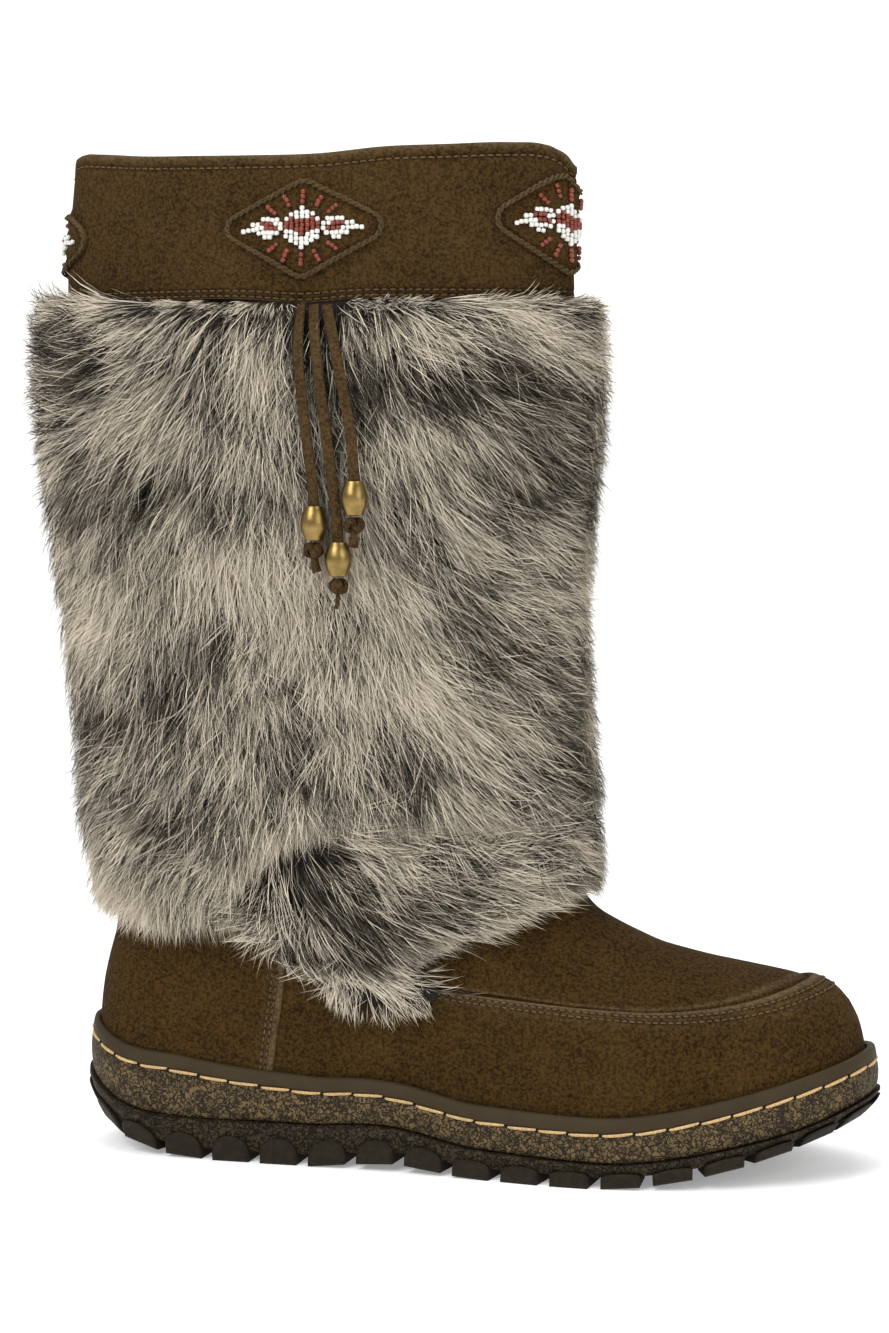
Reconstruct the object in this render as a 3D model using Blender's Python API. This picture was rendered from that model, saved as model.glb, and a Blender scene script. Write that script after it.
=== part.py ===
"""Right boot of a pair of tall winter boots: suede foot, long-haired fur shaft and a beaded suede cuff.

Metres. +X points to the toe, +Z up, and the outer side of the foot is -Y. The origin is on the ground
under the middle of the heel.

Every closed section of the boot is read at the same turning angle phi: 0 is the heel, a quarter turn
the outer side, a half turn the toe. share = (1 - cos(phi)) / 2 is then how far along the section a
point lies, from its back end to its front end.
"""

import bmesh
import bpy
import numpy as np

# Driving sizes of the sole
SOLE_LENGTH = 0.282
BALL_WIDTH = 0.100
HEEL_CENTRE = 0.060
TOE_SPRING = 0.022
HEEL_KICK = 0.0145
ARCH_RISE = 0.0028
TREAD_DEPTH = 0.0145
RAND_DEPTH = 0.012
LIP_HEIGHT = 0.006
LIP_INSET = 0.0005
LIP_TAPER = 0.0009
INSOLE_THICKNESS = 0.003

# Where heel kick, toe spring and arch lie along the sole, as shares of its length, and their curves
KICK_UNTIL, KICK_POWER = 0.18, 2.0
SPRING_FROM, SPRING_POWER = 0.68, 1.7
ARCH_AT, ARCH_HALF = 0.42, 0.11

# Edge of the tread and of the rand: how far each ring lies inside the sole's outline
TREAD_BEVEL = 0.0020
TREAD_BEVEL_TUCK = 0.50
TREAD_EASE = 0.0012
TREAD_EASE_TUCK = 0.30
TREAD_EASE_AT = 0.30
TREAD_SWELL = 0.0002
TREAD_SWELL_AT = 0.62
TREAD_TUCK = 0.0006
RAND_EASE = 0.0012
RAND_FOOT_INSET = 0.0004
RAND_FOOT_HEIGHT = 0.0010
RAND_TOP_INSET = 0.0008

# Lugs: half discs round the edge, six-sided blocks under the middle
LUG_HEIGHT = 0.0035
NOTCH_SHARE = 0.42
LUG_SHARE = 0.62
LUG_TUCK = 0.0065
LUG_REACH = 0.0165
LUG_STAND = 0.0004
LUG_PITCH = 0.0175
LUG_FILL = 0.755
LUG_CORNERS = 5
LUG_EMBED = 0.0003
BLOCK_RADIUS = 0.0085
BLOCK_EMBED = 0.0015

# Driving sizes of the upper
COLLAR_HEIGHT = 0.350
THROAT_HEIGHT = 0.105
UPPER_WALL = 0.0022
UPPER_INSET = 0.0072
UPPER_BULGE = 0.035
TOE_WALL_THICKNESS = 0.0014
COUNTER_THICKNESS = 0.0020
CUFF_DEPTH = 0.052
CUFF_WALL = 0.0020
CUFF_EDGE = 0.0012
PATCH_WIDTH = 0.055
PATCH_HEIGHT = 0.036
PATCH_THICKNESS = 0.0012
PATCH_RISE = 0.0235
PATCH_BLUNT = 0.05

# Fur
PILE = 0.0150
FUR_CLEARANCE = 0.0007
FLAP_CLEARANCE = 0.0013
FLAP_PILE = 0.0115
FLAP_EDGE = 0.0035
FLAP_END_TURN = 0.3
FLAP_ROWS = 7
LOCK_LENGTH = 0.026
LOCK_DEPTH = 0.30
LOCK_JAG = 0.0045
LOCK_SCATTER = 0.13
ROWS_PER_LOCK = 2.2
CUFF_SHADE = 0.0026
SHADE_DEPTH = 0.024
ROW_STEP = 0.004

# Tassel
THONG_DIAMETER = 0.003
BEAD_LENGTH = 0.0113
BEAD_RADIUS = 0.0045
BEAD_END_RADIUS = 0.0028
BEAD_BORE_RADIUS = 0.0020
KNOT_RADIUS = 0.0034
KNOT_LENGTH = 0.0062
TAIL_RADIUS = 0.0016
TAIL_LENGTH = 0.0045

GAP = 0.0003
COLUMNS = 48
PHI = np.linspace(0.0, 2.0 * np.pi, COLUMNS, endpoint=False)

# Edge of the sole from above: half breadth over sin(phi), as a share of the ball breadth
FOOTPRINT = {
    "share": (0.00, 0.05, 0.15, 0.25, 0.40, 0.55, 0.65, 0.75, 0.85, 0.93, 1.00),
    "outer": (0.66, 0.62, 0.475, 0.41, 0.39, 0.45, 0.52, 0.565, 0.595, 0.61, 0.62),
    "inner": (0.66, 0.62, 0.470, 0.40, 0.315, 0.40, 0.50, 0.555, 0.610, 0.65, 0.66),
}
# Side of the sole: depth of the tread and of the rand above it, as shares of their named depths
SIDE = {
    "share": (0.00, 0.07, 0.14, 0.22, 0.34, 0.50, 0.68, 0.83, 0.93, 1.00),
    "tread": (0.95, 0.87, 0.98, 1.00, 0.97, 0.72, 0.57, 0.52, 0.44, 0.47),
    "rand": (1.08, 1.25, 1.29, 1.06, 0.86, 0.76, 0.77, 0.88, 0.92, 0.80),
}
# How far the tread's lower edge is drawn in at heel and toe, as a share of LUG_TUCK
TUCK = {
    "share": (0.00, 0.06, 0.16, 0.30, 0.70, 0.86, 0.95, 1.00),
    "inset": (1.00, 0.80, 0.30, 0.00, 0.00, 0.35, 0.80, 1.00),
}
# Outline of the upper from the side: height as a share of the collar's, back and front as shares of
# the sole's length, breadth of the shaft as a share of the ball's, and how far its ends are pinched
SECTIONS = {
    "height": (0.057, 0.094, 0.129, 0.154, 0.171, 0.184, 0.191, 0.197, 0.203, 0.213, 0.227,
               0.249, 0.277, 0.320, 0.400, 0.529, 0.671, 0.852, 1.000),
    "back": (0.0225, 0.0215, 0.0220, 0.0245, 0.0275, 0.0310, 0.0330, 0.0350, 0.0370, 0.0405, 0.0440,
             0.0480, 0.0485, 0.0440, 0.0310, 0.0130, -0.0100, -0.0185, -0.0095),
    "front": (0.9765, 0.9775, 0.9735, 0.9630, 0.9480, 0.9240, 0.8900, 0.8440, 0.7980, 0.7480, 0.7020,
              0.6540, 0.6240, 0.6090, 0.5990, 0.5920, 0.5990, 0.6130, 0.6145),
    "breadth": (0.370, 0.370, 0.370, 0.370, 0.370, 0.370, 0.370, 0.370, 0.370, 0.370, 0.370,
                0.370, 0.372, 0.375, 0.372, 0.362, 0.345, 0.320, 0.305),
    "pinch": (0.00, 0.00, 0.00, 0.00, 0.00, 0.00, 0.00, 0.00, 0.00, 0.00, 0.00,
              0.00, 0.00, 0.00, 0.05, 0.15, 0.35, 0.50, 0.55),
}
# The foot's breadth gives way to the shaft's between these shares of the collar height
FOOT_UNTIL, SHAFT_FROM = 0.10, 0.29
# Height of the apron seam round the foot, as a share of the collar's
SEAM = {
    "share": (0.00, 0.20, 0.35, 0.50, 0.62, 0.72, 0.80, 0.88, 0.94, 1.00),
    "height": (0.215, 0.210, 0.195, 0.181, 0.173, 0.167, 0.164, 0.167, 0.174, 0.187),
}
# Rings of the upper between its guide lines: sole edge 0, apron seam 1, throat 2, collar 3
FOOT_LEVELS = (0.0, 0.16, 0.40, 0.70, 1.0)
VAMP_LEVELS = (1.06, 1.14, 1.25, 1.36, 1.65, 2.0)
SHAFT_HEIGHTS = (0.39, 0.50, 0.62, 0.74)
# Where the counter's front edge lies, as a share along the foot, at the sole edge and at the seam
COUNTER_EDGE = (0.2545, 0.278)
EDGE_GAP = 0.004
EDGE_ROOM = 0.04
# Lower edge of the shaft's fur, and both edges of the ankle flap, as shares of the collar height
FUR_HEM = {
    "share": (0.00, 0.065, 0.20, 0.31, 0.35, 0.40, 0.47, 0.58, 0.75, 0.93, 1.00),
    "height": (0.254, 0.246, 0.251, 0.260, 0.297, 0.320, 0.337, 0.349, 0.350, 0.351, 0.360),
}
FLAP_HEM = {
    "share": (0.33, 0.35, 0.38, 0.42, 0.48, 0.54, 0.60, 0.67, 0.76, 0.85, 0.93, 1.00),
    "height": (0.171, 0.160, 0.155, 0.154, 0.157, 0.189, 0.204, 0.217, 0.230, 0.241, 0.256, 0.266),
}
FLAP_FROM = 0.33
# Depth of the fur from its hem, 0, to the cuff, 1, as a share of the pile
FUR_DEPTH = {
    "height": (0.00, 0.08, 0.30, 0.50, 0.72, 0.86, 1.00),
    "share": (0.72, 1.02, 0.98, 0.92, 1.06, 1.16, 1.05),
}
# Middle of each patch on the cuff: a share of the girth, from the front edge by the outer side, and how
# far it sits above the rest, as a share of its height
PATCHES = {
    "patch_front": (0.012, 0.10),
    "patch_outer": (0.243, 0.04),
    "patch_back": (0.530, -0.03),
    "patch_inner": (0.790, 0.0),
}
# Tassel: each thong's route over the fur, from the cuff to the knot
THONGS = {
    "rear": ((0.0275, -0.0379, 0.2957), (0.0282, -0.0425, 0.2910), (0.0290, -0.0476, 0.2840),
             (0.0302, -0.0508, 0.2730), (0.0320, -0.0519, 0.2580), (0.0342, -0.0526, 0.2430),
             (0.0356, -0.0530, 0.2300), (0.0357, -0.0530, 0.2165)),
    "middle": ((0.0320, -0.0379, 0.2957), (0.0333, -0.0425, 0.2910), (0.0348, -0.0476, 0.2840),
               (0.0366, -0.0508, 0.2730), (0.0392, -0.0520, 0.2560), (0.0421, -0.0527, 0.2350),
               (0.0439, -0.0530, 0.2185), (0.0440, -0.0530, 0.2045)),
    "front": ((0.0365, -0.0379, 0.2957), (0.0385, -0.0425, 0.2910), (0.0412, -0.0478, 0.2840),
              (0.0441, -0.0512, 0.2730), (0.0470, -0.0530, 0.2600), (0.0490, -0.0542, 0.2490),
              (0.0499, -0.0547, 0.2385), (0.0500, -0.0547, 0.2250)),
}
# Middle of each row of blocks under the sole, as a share of its length, and how far off centre
BLOCKS = ((0.125, 0.0), (0.2128, 0.0), (0.300, 0.0), (0.385, 0.0), (0.470, 0.0), (0.560, 0.10),
          (0.560, -0.10), (0.656, 0.0), (0.656, 0.20), (0.656, -0.20), (0.752, 0.10),
          (0.752, -0.10), (0.848, 0.0))

COLOURS = {
    "tread": ((0.045, 0.036, 0.027), 0.75),
    "rand": ((0.096, 0.073, 0.050), 0.70),
    "welt": ((0.100, 0.078, 0.056), 0.50),
    "suede": ((0.075, 0.043, 0.018), 0.95),
    "lining": ((0.30, 0.25, 0.20), 0.95),
    "fur": ((0.33, 0.29, 0.24), 1.00),
    "thong": ((0.105, 0.062, 0.030), 0.95),
    "bead": ((0.42, 0.27, 0.07), 0.35),
}


def smooth(at, stations, values):
    """A soft curve through the values at the stations: cubic pieces whose slopes join."""
    stations = np.asarray(stations, float)
    values = np.asarray(values, float)
    slopes = np.gradient(values, stations)
    k = np.clip(np.searchsorted(stations, at, side="right") - 1, 0, len(stations) - 2)
    gap = stations[k + 1] - stations[k]
    u = np.clip((at - stations[k]) / gap, 0.0, 1.0)
    rise = u * u * (3.0 - 2.0 * u)
    lead = u * (1.0 - u) ** 2 * gap * slopes[k]
    lag = u * u * (u - 1.0) * gap * slopes[k + 1]
    return values[k] * (1.0 - rise) + values[k + 1] * rise + lead + lag


def ease(low, high, at):
    """0 below low, 1 above high, and a soft step between."""
    u = np.clip((at - low) / (high - low), 0.0, 1.0)
    return u * u * (3.0 - 2.0 * u)


def share_of(phi):
    return (1.0 - np.cos(phi)) / 2.0


def seated(row, lift):
    """The same ring, put down on the rand's top plus a lift."""
    row = row.copy()
    row[:, 2] = rand_top(np.clip((row[:, 0] + HEEL_CENTRE) / SOLE_LENGTH, 0.0, 1.0)) + lift
    return row


def stack(x, y, z):
    """One array of points, with x measured from the middle of the heel."""
    return np.stack(np.broadcast_arrays(x - HEEL_CENTRE, y, z), axis=-1)


# Heights along the side of the sole, with along from 0 at its back to 1 at its tip

def ground_line(along):
    """Lowest surface of the tread: flat, with the heel kick, the arch and the toe spring added."""
    kick = HEEL_KICK * np.clip((KICK_UNTIL - along) / KICK_UNTIL, 0.0, 1.0) ** KICK_POWER
    spring = TOE_SPRING * np.clip((along - SPRING_FROM) / (1.0 - SPRING_FROM), 0.0, 1.0) ** SPRING_POWER
    arch = ARCH_RISE * np.clip(1.0 - ((along - ARCH_AT) / ARCH_HALF) ** 2, 0.0, 1.0) ** 2
    return kick + spring + arch


def tread_top(along):
    return ground_line(along) + TREAD_DEPTH * smooth(along, SIDE["share"], SIDE["tread"])


def notch_line(along):
    """Roof of the notches between the lugs, lower where the tread is thin."""
    return ground_line(along) + np.minimum(LUG_HEIGHT, NOTCH_SHARE * (tread_top(along) - ground_line(along)))


def rand_top(along):
    return tread_top(along) + RAND_DEPTH * smooth(along, SIDE["share"], SIDE["rand"])


def fullness(share, phi):
    """Half breadth of the sole over sin(phi), read on the side that phi is on."""
    outer = smooth(share, FOOTPRINT["share"], FOOTPRINT["outer"])
    inner = smooth(share, FOOTPRINT["share"], FOOTPRINT["inner"])
    return BALL_WIDTH * np.where(np.sin(phi) >= 0.0, outer, inner)


def sole_edge(phi, inset=0.0):
    """Outline of the sole from above, moved inwards by inset: returns x from the back end, and y."""
    def plain(angle):
        share = share_of(angle)
        return SOLE_LENGTH * share, -np.sin(angle) * fullness(share, angle)

    turn = 1e-4
    x0, y0 = plain(phi - turn)
    x1, y1 = plain(phi + turn)
    length = np.hypot(x1 - x0, y1 - y0)
    x, y = plain(phi)
    return x - inset * (y1 - y0) / length, y + inset * (x1 - x0) / length


def sole_ring(inset, height_line, lift=0.0):
    """A closed ring round the sole at the given height line."""
    x, y = sole_edge(PHI, inset)
    along = np.clip(x / SOLE_LENGTH, 0.0, 1.0)
    return stack(x, y, height_line(along) + lift)


# The surface of the upper, from the sole edge, level 0, to the collar, level 3

def feather_height(share):
    """Height of the upper's lower edge, which stands on the rand."""
    back = SECTIONS["back"][0] * SOLE_LENGTH
    front = SECTIONS["front"][0] * SOLE_LENGTH
    return rand_top((back + (front - back) * share) / SOLE_LENGTH) + GAP


def seam_height(share):
    return COLLAR_HEIGHT * smooth(share, SEAM["share"], SEAM["height"])


def height_at(share, level):
    """Height of a ring: straight mixes between sole edge, seam, throat and collar."""
    guides = (feather_height(share), seam_height(share),
              THROAT_HEIGHT + 0.0 * share, COLLAR_HEIGHT + 0.0 * share)
    level = level + 0.0 * share
    height = guides[0]
    for k in range(3):
        u = np.clip(level - k, 0.0, 1.0)
        height = height + (guides[k + 1] - guides[k]) * u
    return height


def level_at(share, height):
    """The level at which a ring has the given height: the reverse of height_at."""
    guides = (feather_height(share), seam_height(share), THROAT_HEIGHT, COLLAR_HEIGHT)
    level = 0.0
    for k in range(3):
        level = level + np.clip((height - guides[k]) / (guides[k + 1] - guides[k]), 0.0, 1.0)
    return level


def section(column, height):
    return smooth(height / COLLAR_HEIGHT, SECTIONS["height"], SECTIONS[column])


def upper_point(phi, level):
    """A point of the upper's outer surface.

    The ring's ends lie on the side outline at their own heights, and x runs between them. The half
    breadth is sin(phi) times the footprint's fullness low down and the shaft's breadth high up.
    """
    share = share_of(phi)
    height = height_at(share, level)
    back = SOLE_LENGTH * section("back", height_at(0.0 * share, level))
    front = SOLE_LENGTH * section("front", height_at(0.0 * share + 1.0, level))
    x = back + (front - back) * share
    foot = fullness(np.clip(x / SOLE_LENGTH, 0.0, 1.0), phi) - UPPER_INSET
    foot = foot * (1.0 + UPPER_BULGE * np.sin(np.pi * np.clip(level, 0.0, 1.0)))
    shaft = BALL_WIDTH * section("breadth", height)
    mixed = ease(FOOT_UNTIL, SHAFT_FROM, height / COLLAR_HEIGHT)
    half = foot * (1.0 - mixed) + shaft * mixed
    turn = np.sin(phi)
    taper = np.abs(turn) ** np.maximum(section("pinch", height), 0.0)
    return stack(x, -turn * taper * half, height)


def skin(phi, level, out=0.0):
    """A point that stands out from the upper's surface by the given distance, along its normal."""
    phi = np.asarray(phi, float)
    level = np.asarray(level, float)
    turn = 0.02
    rise = 0.01
    low = np.clip(level - rise, 0.0, 3.0)
    high = np.clip(level + rise, 0.0, 3.0)
    around = upper_point(phi + turn, level) - upper_point(phi - turn, level)
    upward = upper_point(phi, high) - upper_point(phi, low)
    normal = np.cross(around, upward)
    normal /= np.linalg.norm(normal, axis=-1, keepdims=True)
    return upper_point(phi, level) + normal * np.asarray(out, float)[..., None]


def skin_on_columns(column, height, out):
    """skin at a column that may lie between two whole ones: then on the flat facet between them."""
    column = np.asarray(column, float)
    low = np.floor(column)
    part = (column - low)[..., None]
    ends = []
    for whole in (low, low + 1.0):
        phi = 2.0 * np.pi * whole / COLUMNS
        ends.append(skin(phi, level_at(share_of(phi), height), out))
    return ends[0] * (1.0 - part) + ends[1] * part


def shaft_levels():
    """Levels of the shaft's rings, with one at the cuff's lower edge and one at the collar."""
    heights = [share * COLLAR_HEIGHT for share in SHAFT_HEIGHTS]
    heights += [COLLAR_HEIGHT - CUFF_DEPTH, COLLAR_HEIGHT]
    return tuple(float(level_at(np.array(0.5), height)) for height in heights)


# Meshes

def add_object(name, vertices, faces, colour):
    mesh = bpy.data.meshes.new(name)
    mesh.from_pydata([tuple(v) for v in vertices], [], faces)
    mesh.materials.append(material(colour))
    work = bmesh.new()
    work.from_mesh(mesh)
    bmesh.ops.remove_doubles(work, verts=work.verts, dist=1e-6)
    bmesh.ops.recalc_face_normals(work, faces=work.faces)
    work.to_mesh(mesh)
    work.free()
    mesh.shade_smooth()
    mesh.set_sharp_from_angle(angle=0.7)
    obj = bpy.data.objects.new(name, mesh)
    bpy.context.scene.collection.objects.link(obj)
    return obj


def material(name):
    if name in bpy.data.materials:
        return bpy.data.materials[name]
    colour, roughness = COLOURS[name]
    made = bpy.data.materials.new(name)
    made.use_nodes = True
    shader = made.node_tree.nodes["Principled BSDF"]
    shader.inputs["Base Color"].default_value = (*colour, 1.0)
    shader.inputs["Roughness"].default_value = roughness
    shader.inputs["Metallic"].default_value = 0.0
    return made


def strips(rows, columns, start, cyclic, wrap_rows=False):
    """Quads between neighbouring rows of a grid whose first vertex has the number start."""
    faces = []
    for i in range(rows if wrap_rows else rows - 1):
        for j in range(columns if cyclic else columns - 1):
            a = start + i * columns
            b = start + (i + 1) % rows * columns
            k = (j + 1) % columns
            faces.append((a + j, a + k, b + k, b + j))
    return faces


def slab(name, rings, colour):
    """A solid whose side runs through the rings and whose ends are closed across the foot.

    Each end is a ladder of flat rungs between the two sides, so it follows the sole's curve.
    """
    rings = np.asarray(rings)
    rows, columns = rings.shape[:2]
    faces = strips(rows, columns, 0, True)
    for start in (0, (rows - 1) * columns):
        for j in range(columns // 2):
            rung = [start + j, start + j + 1, start + columns - j - 1, start + (columns - j) % columns]
            faces.append(tuple(dict.fromkeys(rung)))
    return add_object(name, rings.reshape(-1, 3), faces, colour)


def ring_solid(name, rows, colour):
    """A closed band: its cross-section runs through the rows and back to the first."""
    rows = np.asarray(rows)
    faces = strips(rows.shape[0], rows.shape[1], 0, True, wrap_rows=True)
    return add_object(name, rows.reshape(-1, 3), faces, colour)


def panel(name, outer, inner, colour):
    """A sheet with a wall, between an outer and an inner grid of one size, closed at its four edges."""
    outer = np.asarray(outer)
    inner = np.asarray(inner)
    rows, columns = outer.shape[:2]
    size = rows * columns
    faces = strips(rows, columns, 0, False) + strips(rows, columns, size, False)
    edge = [j for j in range(columns)]
    edge += [i * columns + columns - 1 for i in range(1, rows)]
    edge += [(rows - 1) * columns + j for j in range(columns - 2, -1, -1)]
    edge += [i * columns for i in range(rows - 2, 0, -1)]
    for a, b in zip(edge, edge[1:] + edge[:1]):
        faces.append((a, b, size + b, size + a))
    vertices = np.concatenate([outer.reshape(-1, 3), inner.reshape(-1, 3)])
    return add_object(name, vertices, faces, colour)


def lathe(name, profile, colour, sides=10, closed=False):
    """A solid turned about its own Z axis from (radius, height) pairs. A closed profile has a bore."""
    turn = 2.0 * np.pi * np.arange(sides) / sides
    rows = np.array([[(r * np.cos(a), r * np.sin(a), h) for a in turn] for r, h in profile])
    faces = strips(len(profile), sides, 0, True, wrap_rows=closed)
    if not closed:
        last = (len(profile) - 1) * sides
        faces += [tuple(range(sides)), tuple(range(last, last + sides))]
    return add_object(name, rows.reshape(-1, 3), faces, colour)


# Sub-parts

def make_outsole():
    """Dark rubber: a slab with a rounded edge, half-disc lugs round it and blocks under the middle."""
    def line(part):
        """The height line at a part of the way from the notches' roof up to the tread's top."""
        return lambda along: notch_line(along) * (1.0 - part) + tread_top(along) * part

    tuck = tuck_at(share_of(PHI))
    rings = [
        sole_ring(TREAD_BEVEL + tuck * TREAD_BEVEL_TUCK, line(0.0)),
        sole_ring(TREAD_EASE + tuck * TREAD_EASE_TUCK, line(TREAD_EASE_AT)),
        sole_ring(-TREAD_SWELL, line(TREAD_SWELL_AT)),
        sole_ring(TREAD_TUCK, tread_top, -GAP),
    ]
    outsole = slab("outsole", rings, "tread")
    lugs = make_lugs()
    union = outsole.modifiers.new("lugs", "BOOLEAN")
    union.operation = "UNION"
    union.solver = "EXACT"
    union.use_self = True
    union.object = lugs
    return outsole


def tuck_at(share):
    return LUG_TUCK * smooth(share, TUCK["share"], TUCK["inset"])


def lug_profile(stem, height):
    """Straight up to the stem's height, then half an oval up to the whole: pairs of (across, up)."""
    half = LUG_FILL * LUG_PITCH / 2.0
    arc = [(half * np.cos(a), stem + (height - stem) * np.sin(a))
           for a in np.linspace(0.0, np.pi, LUG_CORNERS)]
    return np.array([(half, 0.0)] + arc + [(-half, 0.0)])


def make_lugs():
    """All lugs as one cutter-like guide, which the outsole takes in."""
    fine = np.linspace(0.0, 2.0 * np.pi, 721)
    x, y = sole_edge(fine)
    run = np.concatenate([[0.0], np.cumsum(np.hypot(np.diff(x), np.diff(y)))])
    count = int(round(run[-1] / LUG_PITCH))
    vertices = []
    faces = []
    for k in range(count):
        phi = np.interp((k + 0.5) / count * run[-1], run, fine)
        x, y = sole_edge(phi)
        inner_x, inner_y = sole_edge(phi, 1.0)
        inward = np.array([inner_x - x, inner_y - y])
        across = np.array([-inward[1], inward[0]])
        along = x / SOLE_LENGTH
        stem = float(notch_line(along) - ground_line(along)) + LUG_EMBED
        profile = lug_profile(stem, LUG_SHARE * float(tread_top(along) - ground_line(along)))
        tuck = float(tuck_at(share_of(phi)))
        start = len(vertices)
        for depth, lean in ((-LUG_STAND, tuck), (LUG_REACH, 0.0)):
            for side, up in profile:
                inset = depth + lean * (1.0 - up / profile[:, 1].max())
                px, py = np.array([x, y]) + inward * inset + across * side
                ground = ground_line(np.clip(px / SOLE_LENGTH, 0.0, 1.0))
                vertices.append(stack(px, py, ground + up))
        faces += prism_faces(start, len(profile))
    for along, aside in BLOCKS:
        start = len(vertices)
        for up in (0.0, LUG_HEIGHT + BLOCK_EMBED):
            for a in np.arange(6) * np.pi / 3.0:
                px = along * SOLE_LENGTH + BLOCK_RADIUS * np.cos(a)
                py = aside * BALL_WIDTH + BLOCK_RADIUS * np.sin(a)
                vertices.append(stack(px, py, ground_line(px / SOLE_LENGTH) + up))
        faces += prism_faces(start, 6)
    lugs = add_object("lugs", vertices, faces, "tread")
    lugs.hide_render = True
    lugs.display_type = "WIRE"
    return lugs


def prism_faces(start, corners):
    """Faces of a prism whose two ends are runs of corners, one after the other."""
    ends = [tuple(range(start, start + corners)), tuple(range(start + corners, start + 2 * corners))]
    sides = [(start + k, start + (k + 1) % corners,
              start + corners + (k + 1) % corners, start + corners + k) for k in range(corners)]
    return ends + sides


def make_midsole():
    """Pebbled rubber rand: a slab that reaches the sole's outline at half its height."""
    rings = [
        sole_ring(RAND_EASE, tread_top),
        sole_ring(RAND_FOOT_INSET, tread_top, RAND_FOOT_HEIGHT),
        sole_ring(0.0, lambda along: (tread_top(along) + rand_top(along)) / 2.0),
        sole_ring(RAND_TOP_INSET, rand_top),
    ]
    return slab("midsole", rings, "rand")


def make_welt():
    """Smooth rubber lip that stands on the rand and hugs the foot."""
    hug = GAP + COUNTER_THICKNESS + GAP
    share = share_of(PHI)
    rows = [
        sole_ring(LIP_INSET, rand_top, GAP),
        sole_ring(LIP_INSET + LIP_TAPER * 0.7, rand_top, GAP + LIP_HEIGHT * 0.7),
        sole_ring(LIP_INSET + LIP_TAPER * 1.6, rand_top, LIP_HEIGHT),
    ]
    hug_level = level_at(share, feather_height(share) + LIP_HEIGHT)
    rows.append(seated(skin(PHI, hug_level, hug), LIP_HEIGHT))
    rows.append(seated(skin(PHI, 0.0 * share, hug), GAP))
    return ring_solid("welt", rows, "welt")


def make_insole():
    """Footbed inside the upper, on the rand."""
    share = share_of(PHI)
    rings = []
    for lift in (2.0 * GAP, 2.0 * GAP + INSOLE_THICKNESS):
        ring = skin(PHI, level_at(share, feather_height(share) + lift), -(UPPER_WALL + 2.0 * GAP))
        rings.append(seated(ring, lift))
    return slab("insole", rings, "lining")


def make_upper():
    """The hollow boot: outer wall up, over the collar and down the inner wall, open underneath."""
    levels = FOOT_LEVELS + VAMP_LEVELS + shaft_levels()
    inner_levels = FOOT_LEVELS[::2] + VAMP_LEVELS[1::2] + shaft_levels()[1::2]
    outer = [skin(PHI, level) for level in levels]
    inner = [skin(PHI, level, -UPPER_WALL) for level in reversed(inner_levels)]
    outer[0] = seated(outer[0], GAP)
    inner[-1] = seated(inner[-1], GAP)
    return ring_solid("upper", outer + inner, "suede")


def edge_phi(level, beyond=0.0):
    """Angle of the counter's front edge at a level."""
    share = COUNTER_EDGE[0] + (COUNTER_EDGE[1] - COUNTER_EDGE[0]) * level + beyond
    return np.arccos(1.0 - 2.0 * share)


def overlay(name, phis, levels, wall):
    """A panel over the upper, between its own surface and one that stands out by the wall."""
    outer = []
    inner = []
    for level in levels:
        phi = phis(level)
        inner.append(skin(phi, level + 0.0 * phi, GAP))
        outer.append(skin(phi, level + 0.0 * phi, GAP + wall))
    outer[0] = seated(outer[0], GAP)
    inner[0] = seated(inner[0], GAP)
    return panel(name, outer, inner, "suede")


def make_counter():
    """Heel panel. Its front edges lie over the side seams."""
    def phis(level):
        edge = edge_phi(level)
        whole = PHI[PHI < edge_phi(0.0)]
        return np.concatenate([[-edge], -whole[:0:-1], whole, [edge]])

    return overlay("counter", phis, FOOT_LEVELS + VAMP_LEVELS[:4], COUNTER_THICKNESS)


def make_toe_wall():
    """Side panel from one side seam round the toe to the other, up to the apron seam."""
    def phis(level):
        edge = edge_phi(level, EDGE_GAP)
        first = edge_phi(1.0) + EDGE_ROOM
        inside = PHI[(PHI > first) & (PHI < 2.0 * np.pi - first)]
        return np.concatenate([[edge], inside, [2.0 * np.pi - edge]])

    return overlay("toe_wall", phis, FOOT_LEVELS, TOE_WALL_THICKNESS)


def make_cuff():
    """Suede band round the top of the shaft, with its edges eased."""
    flat = GAP + CUFF_WALL
    profile = (
        (0.0, GAP),
        (0.0, flat - CUFF_EDGE),
        (CUFF_EDGE, flat),
        (CUFF_DEPTH - CUFF_EDGE, flat),
        (CUFF_DEPTH, flat - CUFF_EDGE),
        (CUFF_DEPTH, GAP),
    )
    column = np.arange(COLUMNS)
    rows = [on_cuff(column, COLLAR_HEIGHT - CUFF_DEPTH + up, out) for up, out in profile]
    return ring_solid("cuff", rows, "suede")


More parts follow.
